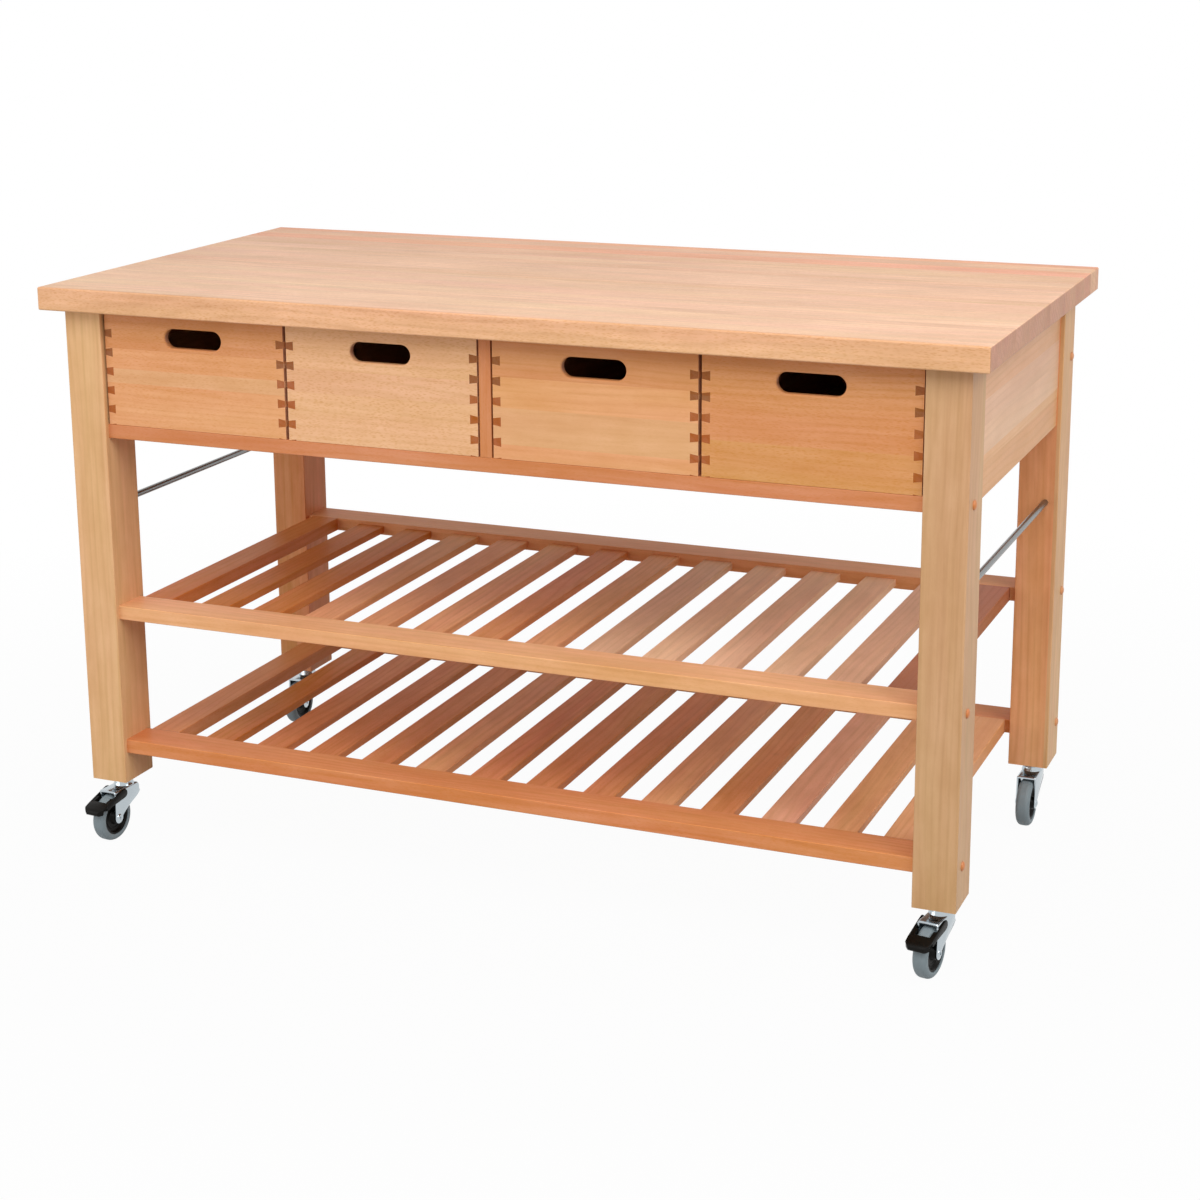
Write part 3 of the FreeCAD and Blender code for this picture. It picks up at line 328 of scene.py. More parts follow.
def beech(name, grain, bands, ends=((-2000, "mauve"), (2000, "mauve")), figure=1.0, fleck=0.4, gloss=0.15):
    """Oiled beech: boards side by side, each with its own tone and figure, and end grain in bands of its own.

    The grain names the axes along the boards, across them and through them."""
    material, tree, surface = blank_material(name)
    where = tree.nodes.new("ShaderNodeTexCoord").outputs
    axes = shader(tree, "ShaderNodeSeparateXYZ", {0: where["Object"]}).outputs
    along, across, through = (axes[axis] for axis in grain)
    boards = banded(tree, across, bands)
    board = shader(tree, "ShaderNodeTexWhiteNoise", {"Vector": boards}).outputs["Value"]
    inputs = {
        "X": sums(tree, "MULTIPLY_ADD", board, 9, along),
        "Y": across,
        "Z": sums(tree, "MULTIPLY_ADD", board, 2, through),
    }
    place = shader(tree, "ShaderNodeCombineXYZ", inputs).outputs[0]
    facing = shader(tree, "ShaderNodeSeparateXYZ", {0: where["Normal"]}).outputs[grain[0]]
    end = spread(tree, sums(tree, "ABSOLUTE", facing), 0.75, 0.95, 0, 0.85)
    inputs = {0: end, 6: boards, 7: banded(tree, across, ends)}
    toned = shader(tree, "ShaderNodeMix", inputs, data_type="RGBA").outputs[2]
    inputs = {"Place": place, "Tone": toned, "Figure": figure, "Fleck": fleck}
    made = shader(tree, "ShaderNodeGroup", inputs, node_tree=beech_figure()).outputs
    tree.links.new(made["Tone"], surface.inputs["Base Color"])
    tree.links.new(made["Roughness"], surface.inputs["Roughness"])
    surface.inputs["Specular IOR Level"].default_value = gloss
    raise_grain(tree, surface, made["Height"], 0.25, 0.0004)
    return material


def fitting(name, colour, metallic, roughness, grain, mottle, relief, gloss=0.5):
    """Metal, plastic or rubber: a colour that varies a little, with grain in its gloss and relief."""
    material, tree, surface = blank_material(name)
    place = tree.nodes.new("ShaderNodeTexCoord").outputs["Object"]
    fine = centred(tree, place, grain, 3, 0.6)
    broad = centred(tree, place, [part * 0.08 for part in grain])
    value = sums(tree, "MULTIPLY_ADD", sums(tree, "ADD", fine, broad), mottle, 1.0)
    toned = shader(tree, "ShaderNodeHueSaturation", {"Value": value, "Color": (*colour, 1)}).outputs["Color"]
    tree.links.new(toned, surface.inputs["Base Color"])
    tree.links.new(sums(tree, "MULTIPLY_ADD", fine, 0.35, roughness), surface.inputs["Roughness"])
    surface.inputs["Metallic"].default_value = metallic
    surface.inputs["Specular IOR Level"].default_value = gloss
    raise_grain(tree, surface, fine, relief, 0.0002)
    return material


# Modelling

def clear_selection():
    """Leaves edit mode, with nothing selected."""
    if bpy.context.object and bpy.context.object.mode != "OBJECT":
        bpy.ops.object.mode_set(mode="OBJECT")
    bpy.ops.object.select_all(action="DESELECT")


def only(piece):
    """Selects one object and makes it the active one."""
    clear_selection()
    piece.select_set(True)
    bpy.context.view_layer.objects.active = piece


def begin_edit(piece):
    """Enters edit mode with all of a piece selected."""
    only(piece)
    bpy.ops.object.mode_set(mode="EDIT")
    bpy.ops.mesh.select_mode(type="VERT")
    bpy.ops.mesh.select_all(action="SELECT")


def pick(piece, wanted, kind="FACE"):
    """Selects the faces, edges or corners of a piece that pass a test, and returns to edit mode."""
    bpy.ops.mesh.select_mode(type=kind)
    bpy.ops.mesh.select_all(action="DESELECT")
    bpy.ops.object.mode_set(mode="OBJECT")
    mesh = piece.data
    chosen = 0
    if kind == "FACE":
        for face in mesh.polygons:
            face.select = wanted(face.center, face.normal)
            chosen += face.select
    elif kind == "EDGE":
        for edge in mesh.edges:
            edge.select = wanted(*(mesh.vertices[corner].co for corner in edge.vertices))
            chosen += edge.select
    else:
        for corner in mesh.vertices:
            corner.select = wanted(corner.co)
            chosen += corner.select
    bpy.ops.object.mode_set(mode="EDIT")
    if not chosen:
        raise RuntimeError(f"nothing to pick on {piece.name}")


def push(offset):
    """Extrudes what is selected by an offset."""
    bpy.ops.mesh.extrude_region_move(TRANSFORM_OT_translate={"value": offset})


def traced(name, points, closed):
    """A line of corners drawn one after another, filled where it is closed."""
    clear_selection()
    bpy.ops.mesh.primitive_plane_add(size=MM)
    piece = bpy.context.object
    piece.name = name
    begin_edit(piece)
    bpy.ops.mesh.merge(type="CENTER")
    bpy.ops.transform.translate(value=points[0])
    for before, after in zip(points, points[1:]):
        push(Vector(after) - Vector(before))
    bpy.ops.mesh.select_all(action="SELECT")
    if closed:
        bpy.ops.mesh.edge_face_add()
    return piece


def tidy_mesh(piece):
    """Merges doubled corners and turns all faces outwards."""
    begin_edit(piece)
    bpy.ops.mesh.remove_doubles(threshold=0.005 * MM)
    bpy.ops.mesh.select_all(action="SELECT")
    bpy.ops.mesh.normals_make_consistent(inside=False)
    bpy.ops.object.mode_set(mode="OBJECT")


def turned(name, profile, axis):
    """A turned piece: a profile of distances along the axis and radii, in millimetres, spun right round."""
    steps = bpy.context.scene.cart_sizes.turn_steps
    if axis == "X":
        points = [(along * MM, 0, radius * MM) for along, radius in profile]
    else:
        points = [(radius * MM, 0, along * MM) for along, radius in profile]
    piece = traced(name, points, closed=False)
    turn = (1, 0, 0) if axis == "X" else (0, 0, 1)
    bpy.ops.mesh.spin(steps=steps, angle=2 * math.pi, center=(0, 0, 0), axis=turn)
    tidy_mesh(piece)
    return piece


def mirrored(profile):
    """A closed profile that is the same at both ends."""
    other = [(-along, radius) for along, radius in reversed(profile)]
    return profile + other + [profile[0]]


def apply_bevel(piece, width, segments, angle=40):
    """Eases the sharp edges of a piece."""
    only(piece)
    modifier = piece.modifiers.new("eased", "BEVEL")
    modifier.width = width
    modifier.segments = segments
    modifier.limit_method = "ANGLE"
    modifier.angle_limit = math.radians(angle)
    modifier.harden_normals = False
    bpy.ops.object.modifier_apply(modifier=modifier.name)


def apply_place(piece, matrix):
    """Moves a piece to its place and keeps the place in its mesh."""
    piece.matrix_world = matrix
    only(piece)
    bpy.ops.object.transform_apply(location=True, rotation=True, scale=True)


def copied(master, name, matrix):
    """A copy of a piece, with its own mesh, at its own place."""
    only(master)
    bpy.ops.object.duplicate()
    piece = bpy.context.object
    piece.name = name
    apply_place(piece, matrix)
    return piece


def joined(pieces, name):
    """Several meshes made one piece."""
    clear_selection()
    for piece in pieces:
        piece.select_set(True)
    bpy.context.view_layer.objects.active = pieces[0]
    bpy.ops.object.join()
    whole = bpy.context.object
    whole.name = name
    return whole


def discard(piece):
    """Removes a pattern piece once its copies are made."""
    only(piece)
    bpy.ops.object.delete()


def finish_piece(piece, material, body, slot, *nodes, angle=35):
    """Shades a piece, gives it its material, ties it to its body, and hides the frame's nodes that it stands in
    for. The slot is not used.
    """
    only(piece)
    bpy.ops.object.shade_smooth_by_angle(angle=math.radians(angle))
    piece.data.materials.clear()
    piece.data.materials.append(material)
    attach(piece, body)
    if nodes:
        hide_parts(*nodes)


def dress(material, *names):
    """Gives nodes of the frame a finished material."""
    for name in names:
        node = frame["nodes"][name]
        if not node.material_slots:
            node.data.materials.append(material)
        for place in node.material_slots:
            place.material = material


def king_pin(corner):
    """The frame of a caster: its origin on the floor under the king pin, Y away from the wheel."""
    across = JOINTS[f"wheel_{corner}_spin"]["axis"]
    pin = JOINTS[f"caster_{corner}_swivel"]["pos_m"]
    turn = math.atan2(across[1], across[0])
    return Matrix.Translation((pin[0], pin[1], 0)) @ Matrix.Rotation(turn, 4, "Z")


def wheel_centre(corner):
    """The frame of a wheel, with X along its axle."""
    sizes = bpy.context.scene.cart_sizes
    return king_pin(corner) @ Matrix.Translation((0, -sizes.trail, sizes.axle_height))


def arc(centre, radius, start, stop, steps):
    """Points of an arc, with its angles in degrees."""
    turns = [math.radians(start + (stop - start) * step / steps) for step in range(steps + 1)]
    return [(centre[0] + radius * math.cos(turn), centre[1] + radius * math.sin(turn)) for turn in turns]


class CartOperator:
    """What the cart's operators share"""

    bl_options = {"REGISTER", "UNDO"}


class CART_OT_worktop(CartOperator, bpy.types.Operator):
    """Gives the worktop its glued-up boards"""

    bl_idname = "cart.worktop"
    bl_label = "Worktop"

    def execute(self, context):
        # The back boards are pinker and darker than the front ones: partly their own tones, partly painted shade
        # towards the back of the top
        bands = [
            (-370, "wheat"), (-362, "cream"), (-248, "blush"), (-222, "cream"), (-160, "blush"),
            (-38, "rose"), (2, "blush"), (108, "rose"), (142, "blush"), (182, "rose"), (246, "peach"),
            (290, "rose"), (336, "peach"),
        ]
        ends = [(-370, "mauve"), (105, "fawn"), (300, "rose")]
        dress(beech("worktop beech", "XYZ", bands, ends, figure=1.8, fleck=1.2), "worktop")
        return {"FINISHED"}


class CART_OT_legs(CartOperator, bpy.types.Operator):
    """Gives the legs their upright grain"""

    bl_idname = "cart.legs"
    bl_label = "Legs"

    def execute(self, context):
        front = [(-700, "sand"), (0, "ash"), (694, "sand")]
        # The back legs' fronts get darker copper and amber partly as painted shade under the worktop and end
        # panel, while the back right leg's outer side keeps pale sand as its lit side
        back = [(-700, "apricot"), (-668, "copper"), (0, "amber"), (690, "sand")]
        timber = beech("front leg beech", "ZXY", front, figure=1.5, fleck=0.15)
        dress(timber, "leg_front_left", "leg_front_right")
        timber = beech("back leg beech", "ZXY", back, figure=1.6, fleck=0.2)
        dress(timber, "leg_back_left", "leg_back_right")
        return {"FINISHED"}


class CART_OT_panels(CartOperator, bpy.types.Operator):
    """Gives the end panels and the back panel their boards"""

    bl_idname = "cart.panels"
    bl_label = "Panels"

    def execute(self, context):
        # The top board is wheat, a little darker and oranger than the cream below it: partly its own tone,
        # partly painted shade under the worktop
        bands = [(650, "biscuit"), (702, "straw"), (715, "cream"), (755, "blush"), (790, "wheat")]
        dress(beech("end panel beech", "YZX", bands), "end_panel_left", "end_panel_right")
        bands = [(650, "apricot"), (710, "honey"), (775, "straw"), (820, "apricot")]
        dress(beech("back panel beech", "XZY", bands), "back_panel")
        return {"FINISHED"}


class CART_OT_rails(CartOperator, bpy.types.Operator):
    """Gives the drawer rail, the divider, the runners and the cleats their timber"""

    bl_idname = "cart.rails"
    bl_label = "Drawer bay"

    def execute(self, context):
        rail = [(-340, "salmon"), (0, "chestnut")]
        dress(beech("drawer rail beech", "XYZ", rail), "drawer_rail")
        dress(beech("divider beech", "ZXY", [(-20, "salmon"), (20, "chestnut")]), "drawer_divider")
        dark = [(-700, "umber"), (700, "umber")]
        inner = [(-700, "honey"), (-400, "apricot"), (-100, "honey"), (250, "straw"), (600, "apricot")]
        dress(beech("runner beech", "YXZ", inner, dark), "drawer_runners", "worktop_cleats")
        return {"FINISHED"}


class CART_OT_drawers(CartOperator, bpy.types.Operator):
    """Gives each drawer its own boards, with the pins' end grain showing in the fronts"""

    bl_idname = "cart.drawers"
    bl_label = "Drawers"

    def execute(self, context):
        fronts = {
            # The top boards of the first and third fronts are darker apricot: partly their own tone, partly
            # painted shade under the worktop's overhang
            1: [(670, "honey"), (743, "biscuit"), (763, "honey"), (796, "apricot")],
            2: [(670, "straw"), (752, "wheat"), (786, "straw")],
            3: [(670, "honey"), (700, "biscuit"), (752, "honey"), (794, "apricot")],
            4: [(670, "toffee"), (728, "apricot")],
        }
        flecks = {1: 0.7, 2: 1.3, 3: 0.3, 4: 0.7}
        for number, bands in fronts.items():
            timber = beech(f"drawer {number} beech", "XZY", bands, fleck=flecks[number])
            dress(timber, f"drawer_{number}_front", f"drawer_{number}_back")
        sides = [(670, "honey"), (738, "straw"), (790, "honey")]
        # The pins' end grain is rust below 776 mm and darker umber above: partly their own tone, partly painted
        # shade under the worktop's overhang
        side_beech = beech("drawer side beech", "YZX", sides, [(600, "rust"), (776, "umber")])
        floor_beech = beech("drawer bottom beech", "XYZ", [(-340, "straw"), (-120, "cream"), (110, "straw")])
        for number in fronts:
            dress(side_beech, f"drawer_{number}_sides")
            dress(floor_beech, f"drawer_{number}_bottom")
        return {"FINISHED"}


class CART_OT_shelves(CartOperator, bpy.types.Operator):
    """Gives the shelves their rails and slats"""

    bl_idname = "cart.shelves"
    bl_label = "Shelves"

    def execute(self, context):
        # The slats run from dark russet at the left to paler tones at the right, and are darker than the rails:
        # partly their own tones, partly painted shade under the worktop, deeper at the left
        tones = {
            "upper": ("russet", "russet", "amber", "amber", "amber", "chestnut",
                      "amber", "rose", "almond", "almond", "almond", "rose"),
            "lower": ("russet", "chestnut", "chestnut", "chestnut", "amber", "chestnut",
                      "chestnut", "chestnut", "amber", "chestnut", "peach", "amber"),
        }
        rails = {"upper": ("gold", "amber"), "lower": ("chestnut", "chestnut")}
        ends = {"upper": ("russet", "auburn"), "lower": ("chestnut", "honey")}
        gap = context.scene.cart_sizes.slat_gap
        low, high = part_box("upper_slats")
        pitch = (high.x - low.x + gap) / len(tones["upper"]) / MM
        start = (low.x - gap / 2) / MM
        for shelf, names in tones.items():
            bands = [(start + index * pitch, name) for index, name in enumerate(names)]
            dress(beech(f"{shelf} slat beech", "YXZ", bands, figure=1.7, gloss=0.05), f"{shelf}_slats")
            bands = list(zip((-340, 0), rails[shelf]))
            timber = beech(f"{shelf} rail beech", "XYZ", bands, figure=1.3, gloss=0.08)
            dress(timber, f"{shelf}_front_rail", f"{shelf}_back_rail")
            bands = list(zip((-700, 0), ends[shelf]))
            timber = beech(f"{shelf} end rail beech", "YXZ", bands, figure=1.3, gloss=0.08)
            dress(timber, f"{shelf}_end_rails")
        return {"FINISHED"}


class CART_OT_plugs(CartOperator, bpy.types.Operator):
    """Turns a domed wooden button for each screw and sets it on its leg"""

    bl_idname = "cart.plugs"
    bl_label = "Screw plugs"

    def execute(self, context):
        sizes = context.scene.cart_sizes
        radius = sizes.plug_radius / MM
        dome = sizes.plug_dome / MM
        sunk = 0.6
        rim = 0.4
        profile = [(-sunk, 0), (-sunk, radius * 0.94), (0.25, radius)]
        profile += [(rim + (dome - rim) * up, radius * out) for out, up in arc((0, 0), 1, 0, 90, 7)]
        profile[-1] = (dome, 0)
        master = turned("plug", profile, "X")
        buttons = []
        for end, (y, heights) in PLUGS.items():
            for side in SIDES:
                low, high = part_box(f"leg_{end}_{side}")
                place = Vector((low.x if side == "left" else high.x, y, 0))
                turn = Matrix.Rotation(math.pi if side == "left" else 0, 4, "Z")
                for height in heights:
                    place.z = height
                    buttons.append(copied(master, "button", Matrix.Translation(place) @ turn))
        discard(master)
        buttons = joined(buttons, "plug_buttons")
        bands = [(-400, "russet"), (0, "apricot")]
        material = beech("plug beech", "ZYX", bands, figure=0.6, gloss=0.6)
        finish_piece(buttons, material, "cart_frame", "plug_wood", "screw_plugs", angle=60)
        return {"FINISHED"}


class CART_OT_rods(CartOperator, bpy.types.Operator):
    """Gives the hanging rods, screws and caster stems their metal"""

    bl_idname = "cart.rods"
    bl_label = "Rods and stems"

    def execute(self, context):
        tones = context.scene.cart_fittings
        steel = fitting("drawn steel", tones.steel, metallic=1.0, roughness=0.3, grain=(900, 40, 900),
                        mottle=0.2, relief=0.05)
        dress(steel, "hanging_rod_left", "hanging_rod_right", "leg_screws")
        dress(zinc_plate(), "caster_stems")
        return {"FINISHED"}


def zinc_plate():
    """The casters' bright plating, made once."""
    name = "bright zinc"
    if name in bpy.data.materials:
        return bpy.data.materials[name]
    return fitting(name, bpy.context.scene.cart_fittings.zinc, metallic=1.0, roughness=0.13,
                   grain=(500, 500, 500), mottle=0.12, relief=0.08)


def black_plastic():
    """The moulded plastic of the hubs and pedals, made once."""
    name = "black plastic"
    if name in bpy.data.materials:
        return bpy.data.materials[name]
    return fitting(name, bpy.context.scene.cart_fittings.black, metallic=0.0, roughness=0.4,
                   grain=(1600, 1600, 1600), mottle=0.3, relief=0.2, gloss=0.12)


class CART_OT_forks(CartOperator, bpy.types.Operator):
    """Presses a fork from plate, with its raised race, and hangs one under each leg"""

    bl_idname = "cart.forks"
    bl_label = "Caster forks"

    def execute(self, context):
        sizes = context.scene.cart_sizes
        half = sizes.fork_half
        crown = sizes.crown_height / MM
        trail = sizes.trail / MM
        axle = sizes.axle_height / MM
        lip = -trail - 6.4
        back = arc((12, crown - 8), 8, 90, 0, 6) + arc((12, crown - 13), 8, 0, -50, 5)
        waist = [(14, 61), (6, 57), (-3, 53), (-11, 48.5), (-18, 44), (-22.5, 41)]
        tip = arc((-trail, axle), 9, 5, -180, 12)
        path = back + waist + tip + [(lip, crown)]
        shell = traced("fork_shell", [(-half, y * MM, z * MM) for y, z in path], closed=True)
        push((2 * half, 0, 0))
        tidy_mesh(shell)
        begin_edit(shell)
        top = sizes.crown_height
        folded = 22 * MM

        def open_side(centre, normal):
            ahead_or_under = normal.z < -0.2 or normal.y < -0.5
            return abs(normal.x) < 0.5 and ahead_or_under and centre.z < top - 0.1 * MM

        pick(shell, open_side)
        bpy.ops.mesh.delete(type="FACE")

        def fold(first, second):
            same = abs(first.x - second.x) < 1e-6 and abs(abs(first.x) - half) < 1e-6
            upper = min(first.z, second.z) > top - folded
            return same and upper and min(first.y, second.y) > (lip - 0.1) * MM

        pick(shell, fold, "EDGE")
        bpy.ops.mesh.bevel(offset=3 * MM, segments=4, affect="EDGES")

        def front_edge(first, second):
            ahead = max(first.y, second.y) < (lip + 0.3) * MM
            return ahead and min(first.z, second.z) > top - 2.6 * MM

        pick(shell, front_edge, "EDGE")
        push((0, -1.2 * MM, -1.2 * MM))
        push((0, -0.2 * MM, -2.2 * MM))
        tidy_mesh(shell)
        only(shell)
        plate = shell.modifiers.new("plate", "SOLIDIFY")
        plate.thickness = sizes.fork_plate
        plate.offset = -1
        plate.use_even_offset = True
        bpy.ops.object.modifier_apply(modifier=plate.name)
        apply_bevel(shell, 0.45 * MM, 2, angle=50)
        race = turned("race", [
            (crown - 1, 5.1), (crown - 1, 16.2), (crown + 0.4, 16), (crown + 1.2, 15.4), (crown + 5, 14.9),
            (crown + 7.2, 14.2), (crown + 8, 12.8), (crown + 8, 5.1), (crown - 1, 5.1),
        ], "Z")
        master = joined([shell, race], "fork")
        for corner in CORNERS:
            fork = copied(master, f"pressed_fork_{corner}", king_pin(corner))
            finish_piece(fork, zinc_plate(), f"caster_{corner}", "zinc", f"fork_{corner}")
        discard(master)
        return {"FINISHED"}


class CART_OT_wheels(CartOperator, bpy.types.Operator):
    """Turns an axle rivet, a stepped hub and a round-shouldered tyre for each caster"""

    bl_idname = "cart.wheels"
    bl_label = "Caster wheels"

    def execute(self, context):
        sizes = context.scene.cart_sizes
        tones = context.scene.cart_fittings
        tread = sizes.wheel_radius / MM
        half = sizes.tyre_half / MM
        rim = sizes.rim_radius / MM
        side = sizes.fork_half / MM
        rounding = sizes.tyre_shoulder / MM
        bend = arc((tread - rounding, half - rounding), rounding, 0, 85, 9)
        shoulder = [(along, radius) for radius, along in bend]
        tyre = turned("tyre", mirrored([(0, tread)] + shoulder + [(half, rim + 1.2), (half - 0.8, rim)]), "X")
        hub = turned("hub", mirrored([
            (9.2, rim - 0.3), (9.2, 25), (8.6, 24.2), (5.4, 23.6), (4.6, 22.6), (4.6, 19.8), (5.4, 19.2),
            (5.4, 17.2), (4.6, 16.6), (4.4, 12.4), (5.4, 10.9), (11.6, 9.8), (12.6, 8.8), (12.6, 4.1),
        ]), "X")
        rivet = turned("rivet", [
            (3 - side, 0), (3 - side, 1.7), (-side - 1.4, 2), (-side - 1.9, 2.8), (-side - 1.8, 4.2),
            (-side - 1, 5.8), (-side, 6.4), (-side, 3.95), (side, 3.95), (side, 6.4), (side + 1, 5.8),
            (side + 1.8, 4.2), (side + 1.9, 2.8), (side + 1.4, 2), (side - 3, 1.7), (side - 3, 0),
        ], "X")
        rubber = fitting("grey rubber", tones.rubber, metallic=0.0, roughness=0.55, grain=(700, 700, 700),
                         mottle=0.18, relief=0.15)
        for corner in CORNERS:
            centre = wheel_centre(corner)
            piece = copied(tyre, f"round_tyre_{corner}", centre)
            finish_piece(piece, rubber, f"wheel_{corner}", "tyre_rubber", f"tyre_{corner}", angle=50)
            piece = copied(hub, f"stepped_hub_{corner}", centre)
            finish_piece(piece, black_plastic(), f"wheel_{corner}", "hub_plastic", f"hub_{corner}", angle=50)
            piece = copied(rivet, f"axle_rivet_{corner}", centre)
            finish_piece(piece, zinc_plate(), f"caster_{corner}", "zinc", f"axle_{corner}", angle=50)
        for master in (tyre, hub, rivet):
            discard(master)
        return {"FINISHED"}


class CART_OT_pedals(CartOperator, bpy.types.Operator):
    """Moulds a brake pedal with a rounded nose between two arms, and hangs one on each front fork"""

    bl_idname = "cart.pedals"
    bl_label = "Brake pedals"

    def execute(self, context):
        sizes = context.scene.cart_sizes
        half = sizes.pedal_wide / 2
        inner = half - sizes.arm_thick
        side = [
            (-38, 8.2), (-46, 8.6), (-58, 8.4), (-61.5, 7.4), (-63.4, 5.4), (-64, 3), (-63.4, 0.6),
            (-61.5, -0.8), (-57, -1), (-56, 0.6), (-55, 4), (-53, 4.6), (-45.8, 4.6),
        ]
        foot = traced("foot", [(-half, y * MM, z * MM) for y, z in side], closed=True)
        push((2 * half, 0, 0))
        tidy_mesh(foot)
        begin_edit(foot)
        bpy.ops.mesh.bisect(plane_co=(0, -55 * MM, 0), plane_no=(0, 1, 0))
        self.round_nose(foot, half)
        apply_bevel(foot, 0.9 * MM, 3, angle=50)
        outline = [
            (-46, 8.5), (-7, 8.6), (0.5, 8.1), (4.4, 6), (6.3, 2.6), (6.4, -1), (5, -4.2), (2, -6.1),
            (-1.8, -6.4), (-6, -5.8), (-34, -0.9), (-46, -0.9),
        ]
        stiffener = [(-47, -0.6), (-47, 8.2), (-37, 8.4), (-26, 8.2), (-24.5, 6), (-25.5, -0.6)]
        wall_inner = 11.5 * MM
        wall_thick = 4.5 * MM
        washer = [(15.55, 0), (15.55, 3.6), (16.2, 3.8), (16.2, 0)]
        parts = [foot]
        for sign in (-1, 1):
            arm = traced("arm", [(sign * inner, y * MM, z * MM) for y, z in outline], closed=True)
            push((sign * (sizes.arm_thick - 0.05 * MM), 0, 0))
            tidy_mesh(arm)
            apply_bevel(arm, 0.7 * MM, 2, angle=50)
            wall = traced("wall", [(sign * wall_inner, y * MM, z * MM) for y, z in stiffener], closed=True)
            push((sign * wall_thick, 0, 0))
            tidy_mesh(wall)
            ring = turned("washer", [(sign * along, radius) for along, radius in washer], "X")
            parts += [wall, arm, ring]
        master = joined(parts, "pedal")
        for end in SIDES:
            pivot = JOINTS[f"pedal_{end}_press"]["pos_m"]
            turn = king_pin(f"front_{end}").to_3x3().to_4x4()
            tilt = Matrix.Rotation(sizes.pedal_slope, 4, "X")
            pedal = copied(master, f"moulded_pedal_{end}", Matrix.Translation(pivot) @ turn @ tilt)
            finish_piece(pedal, black_plastic(), f"pedal_{end}", "pedal_plastic", f"brake_pedal_{end}")
        discard(master)
        return {"FINISHED"}

    def round_nose(self, foot, half):
        """Draws the sides of the nose in towards its front, so that it ends in a round."""
        for start, inset in ((-55, 0.6), (-57, 0.6), (-58, 1.4), (-61, 2.2), (-63, 2.4)):
            for sign in (-1, 1):
                def outside(corner):
                    return corner.y < (start + 0.6) * MM and corner.x * sign > half * 0.3

                pick(foot, outside, "VERT")
                bpy.ops.transform.translate(value=(-sign * inset * MM, 0, 0))


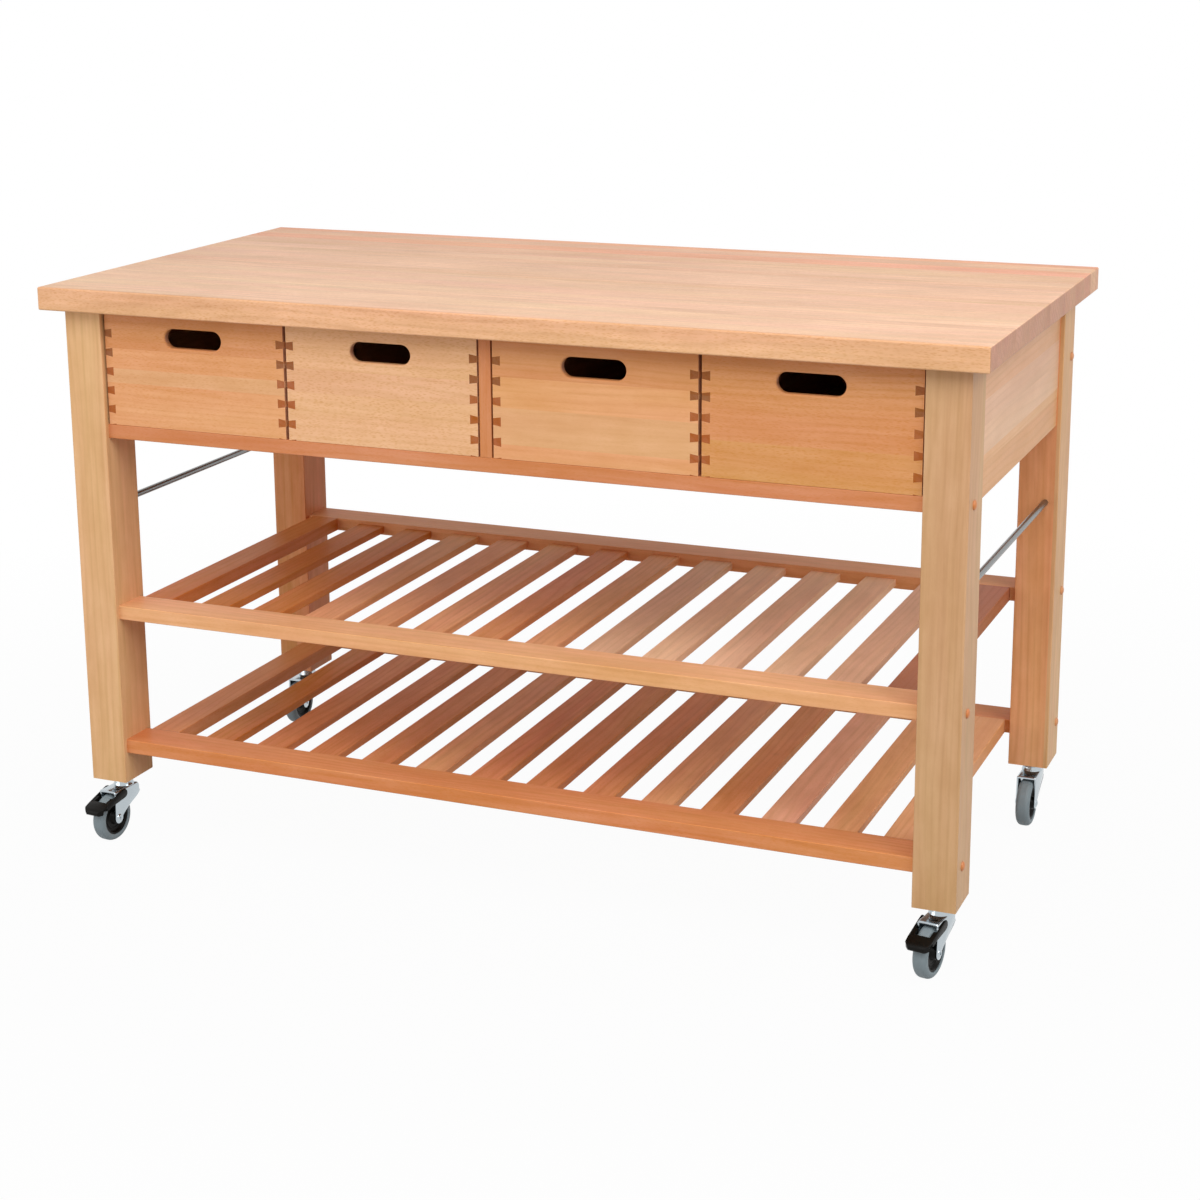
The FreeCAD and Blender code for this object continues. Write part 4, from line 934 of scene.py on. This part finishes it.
class CART_OT_stage(CartOperator, bpy.types.Operator):
    """Sets up the pale floor, the soft lamps and the camera"""

    bl_idname = "cart.stage"
    bl_label = "Studio"

    def execute(self, context):
        stage = context.scene.cart_stage
        context.scene.view_settings.view_transform = "Standard"
        self.lay_floor(stage)
        self.light_room(context, stage)
        self.hang_lamps(context, stage)
        self.place_camera(context, stage)
        return {"FINISHED"}

    def hang_lamps(self, context, stage):
        """Hangs the large lamps round the cart, each turned to its middle."""
        lamps = {
            "key": (stage.key_light, (0.6, -3.0, 3.3)),
            "left": (stage.left_light, (-2.4, -2.3, 1.15)),
            "right": (stage.right_light, (3.4, -1.4, 2.8)),
            "top": (stage.top_light, (1.7, -0.9, 3.0)),
        }
        middle = Vector((0, 0, 0.5))
        for name, (power, place) in lamps.items():
            clear_selection()
            bpy.ops.object.light_add(type="AREA", location=place)
            lamp = context.object
            lamp.name = f"{name}_lamp"
            lamp.rotation_euler = (middle - Vector(place)).to_track_quat("-Z", "Y").to_euler()
            lamp.data.energy = power
            lamp.data.size = stage.lamp_size

    def lay_floor(self, stage):
        """Lays a grey floor that the camera sees as white, with a trace of the cart's shadow under it."""
        clear_selection()
        bpy.ops.mesh.primitive_plane_add(size=stage.floor_size)
        floor = bpy.context.object
        floor.name = "studio_floor"
        material, tree, surface = blank_material("studio white")
        surface.inputs["Base Color"].default_value = (stage.floor_grey, stage.floor_grey, stage.floor_grey, 1)
        surface.inputs["Roughness"].default_value = 0.9
        seen = self.seen_directly(tree)
        glow = shader(tree, "ShaderNodeEmission", {"Color": (1, 1, 1, 1), "Strength": 1.0})
        place = tree.nodes.new("ShaderNodeTexCoord").outputs["Object"]
        reach = shader(tree, "ShaderNodeVectorMath", {0: place}, operation="LENGTH").outputs["Value"]
        share = sums(tree, "MULTIPLY", seen, spread(tree, reach, 0.9, 2.2, stage.floor_white, 1))
        mixed = shader(tree, "ShaderNodeMixShader", {0: share, 1: surface.outputs[0], 2: glow.outputs[0]})
        output = [node for node in tree.nodes if node.type == "OUTPUT_MATERIAL"][0]
        tree.links.new(mixed.outputs[0], output.inputs["Surface"])
        floor.data.materials.append(material)

    def seen_directly(self, tree):
        """One where the camera looks, straight or by way of metal, and nought for the light on the cart."""
        rays = tree.nodes.new("ShaderNodeLightPath").outputs
        mirrored_ray = sums(tree, "MAXIMUM", rays["Is Glossy Ray"], rays["Is Transmission Ray"])
        return sums(tree, "MAXIMUM", rays["Is Camera Ray"], mirrored_ray)

    def light_room(self, context, stage):
        """Fills the room with even light, and makes it look white."""
        world = bpy.data.worlds.new("studio room")
        context.scene.world = world
        world.use_nodes = True
        tree = world.node_tree
        tree.nodes.clear()
        seen = self.seen_directly(tree)
        strength = spread(tree, seen, 0, 1, stage.world_light, 1)
        room = shader(tree, "ShaderNodeBackground", {"Color": (1, 1, 1, 1), "Strength": strength})
        shader(tree, "ShaderNodeOutputWorld", {"Surface": room.outputs[0]})

    def place_camera(self, context, stage):
        """Puts the camera at its eye and turns it by its yaw, pitch and roll."""
        yaw = stage.yaw
        pitch = stage.pitch
        roll = stage.roll
        ahead = Vector((-math.sin(yaw) * math.cos(pitch), math.cos(yaw) * math.cos(pitch), -math.sin(pitch)))
        level = Vector((math.cos(yaw), math.sin(yaw), 0))
        under = ahead.cross(level)
        right = math.cos(roll) * level + math.sin(roll) * under
        down = math.cos(roll) * under - math.sin(roll) * level
        turn = Matrix((right, -down, -ahead)).transposed()
        clear_selection()
        bpy.ops.object.camera_add(location=stage.eye, rotation=turn.to_euler())
        camera = context.object
        camera.name = "photo_camera"
        camera.data.sensor_width = 36
        camera.data.lens = stage.lens
        camera.data.shift_x, camera.data.shift_y = stage.shift
        camera.data.clip_end = 100
        context.scene.camera = camera


STEPS = (
    CART_OT_worktop, CART_OT_legs, CART_OT_panels, CART_OT_rails, CART_OT_drawers, CART_OT_shelves,
    CART_OT_plugs, CART_OT_rods, CART_OT_forks, CART_OT_wheels, CART_OT_pedals, CART_OT_stage,
)


class CART_PT_sidebar(bpy.types.Panel):
    """Lists the cart's pieces and the sizes and colours that may be changed"""

    bl_idname = "CART_PT_sidebar"
    bl_label = "Kitchen Cart"
    bl_space_type = "VIEW_3D"
    bl_region_type = "UI"
    bl_category = "Cart"

    def draw(self, context):
        layout = self.layout
        for step in STEPS:
            layout.operator(step.bl_idname)
        for group in ("cart_timber", "cart_fittings", "cart_sizes", "cart_stage"):
            values = getattr(context.scene, group)
            column = layout.box().column()
            for name in values.__annotations__:
                column.prop(values, name)


GROUPS = {
    "cart_timber": CartTimberTones,
    "cart_fittings": CartFittingTones,
    "cart_sizes": CartSizes,
    "cart_stage": CartStage,
}


def register():
    """Makes the property groups, operators and panel known."""
    for kind in (*GROUPS.values(), *STEPS, CART_PT_sidebar):
        bpy.utils.register_class(kind)
    for name, kind in GROUPS.items():
        setattr(bpy.types.Scene, name, PointerProperty(type=kind))


def unregister():
    """Takes them out again."""
    for name in GROUPS:
        delattr(bpy.types.Scene, name)
    for kind in reversed((*GROUPS.values(), *STEPS, CART_PT_sidebar)):
        bpy.utils.unregister_class(kind)


def main():
    """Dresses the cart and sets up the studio."""
    register()
    for step in STEPS:
        group, name = step.bl_idname.split(".")
        getattr(getattr(bpy.ops, group), name)()


if __name__ == "__main__":
    main()
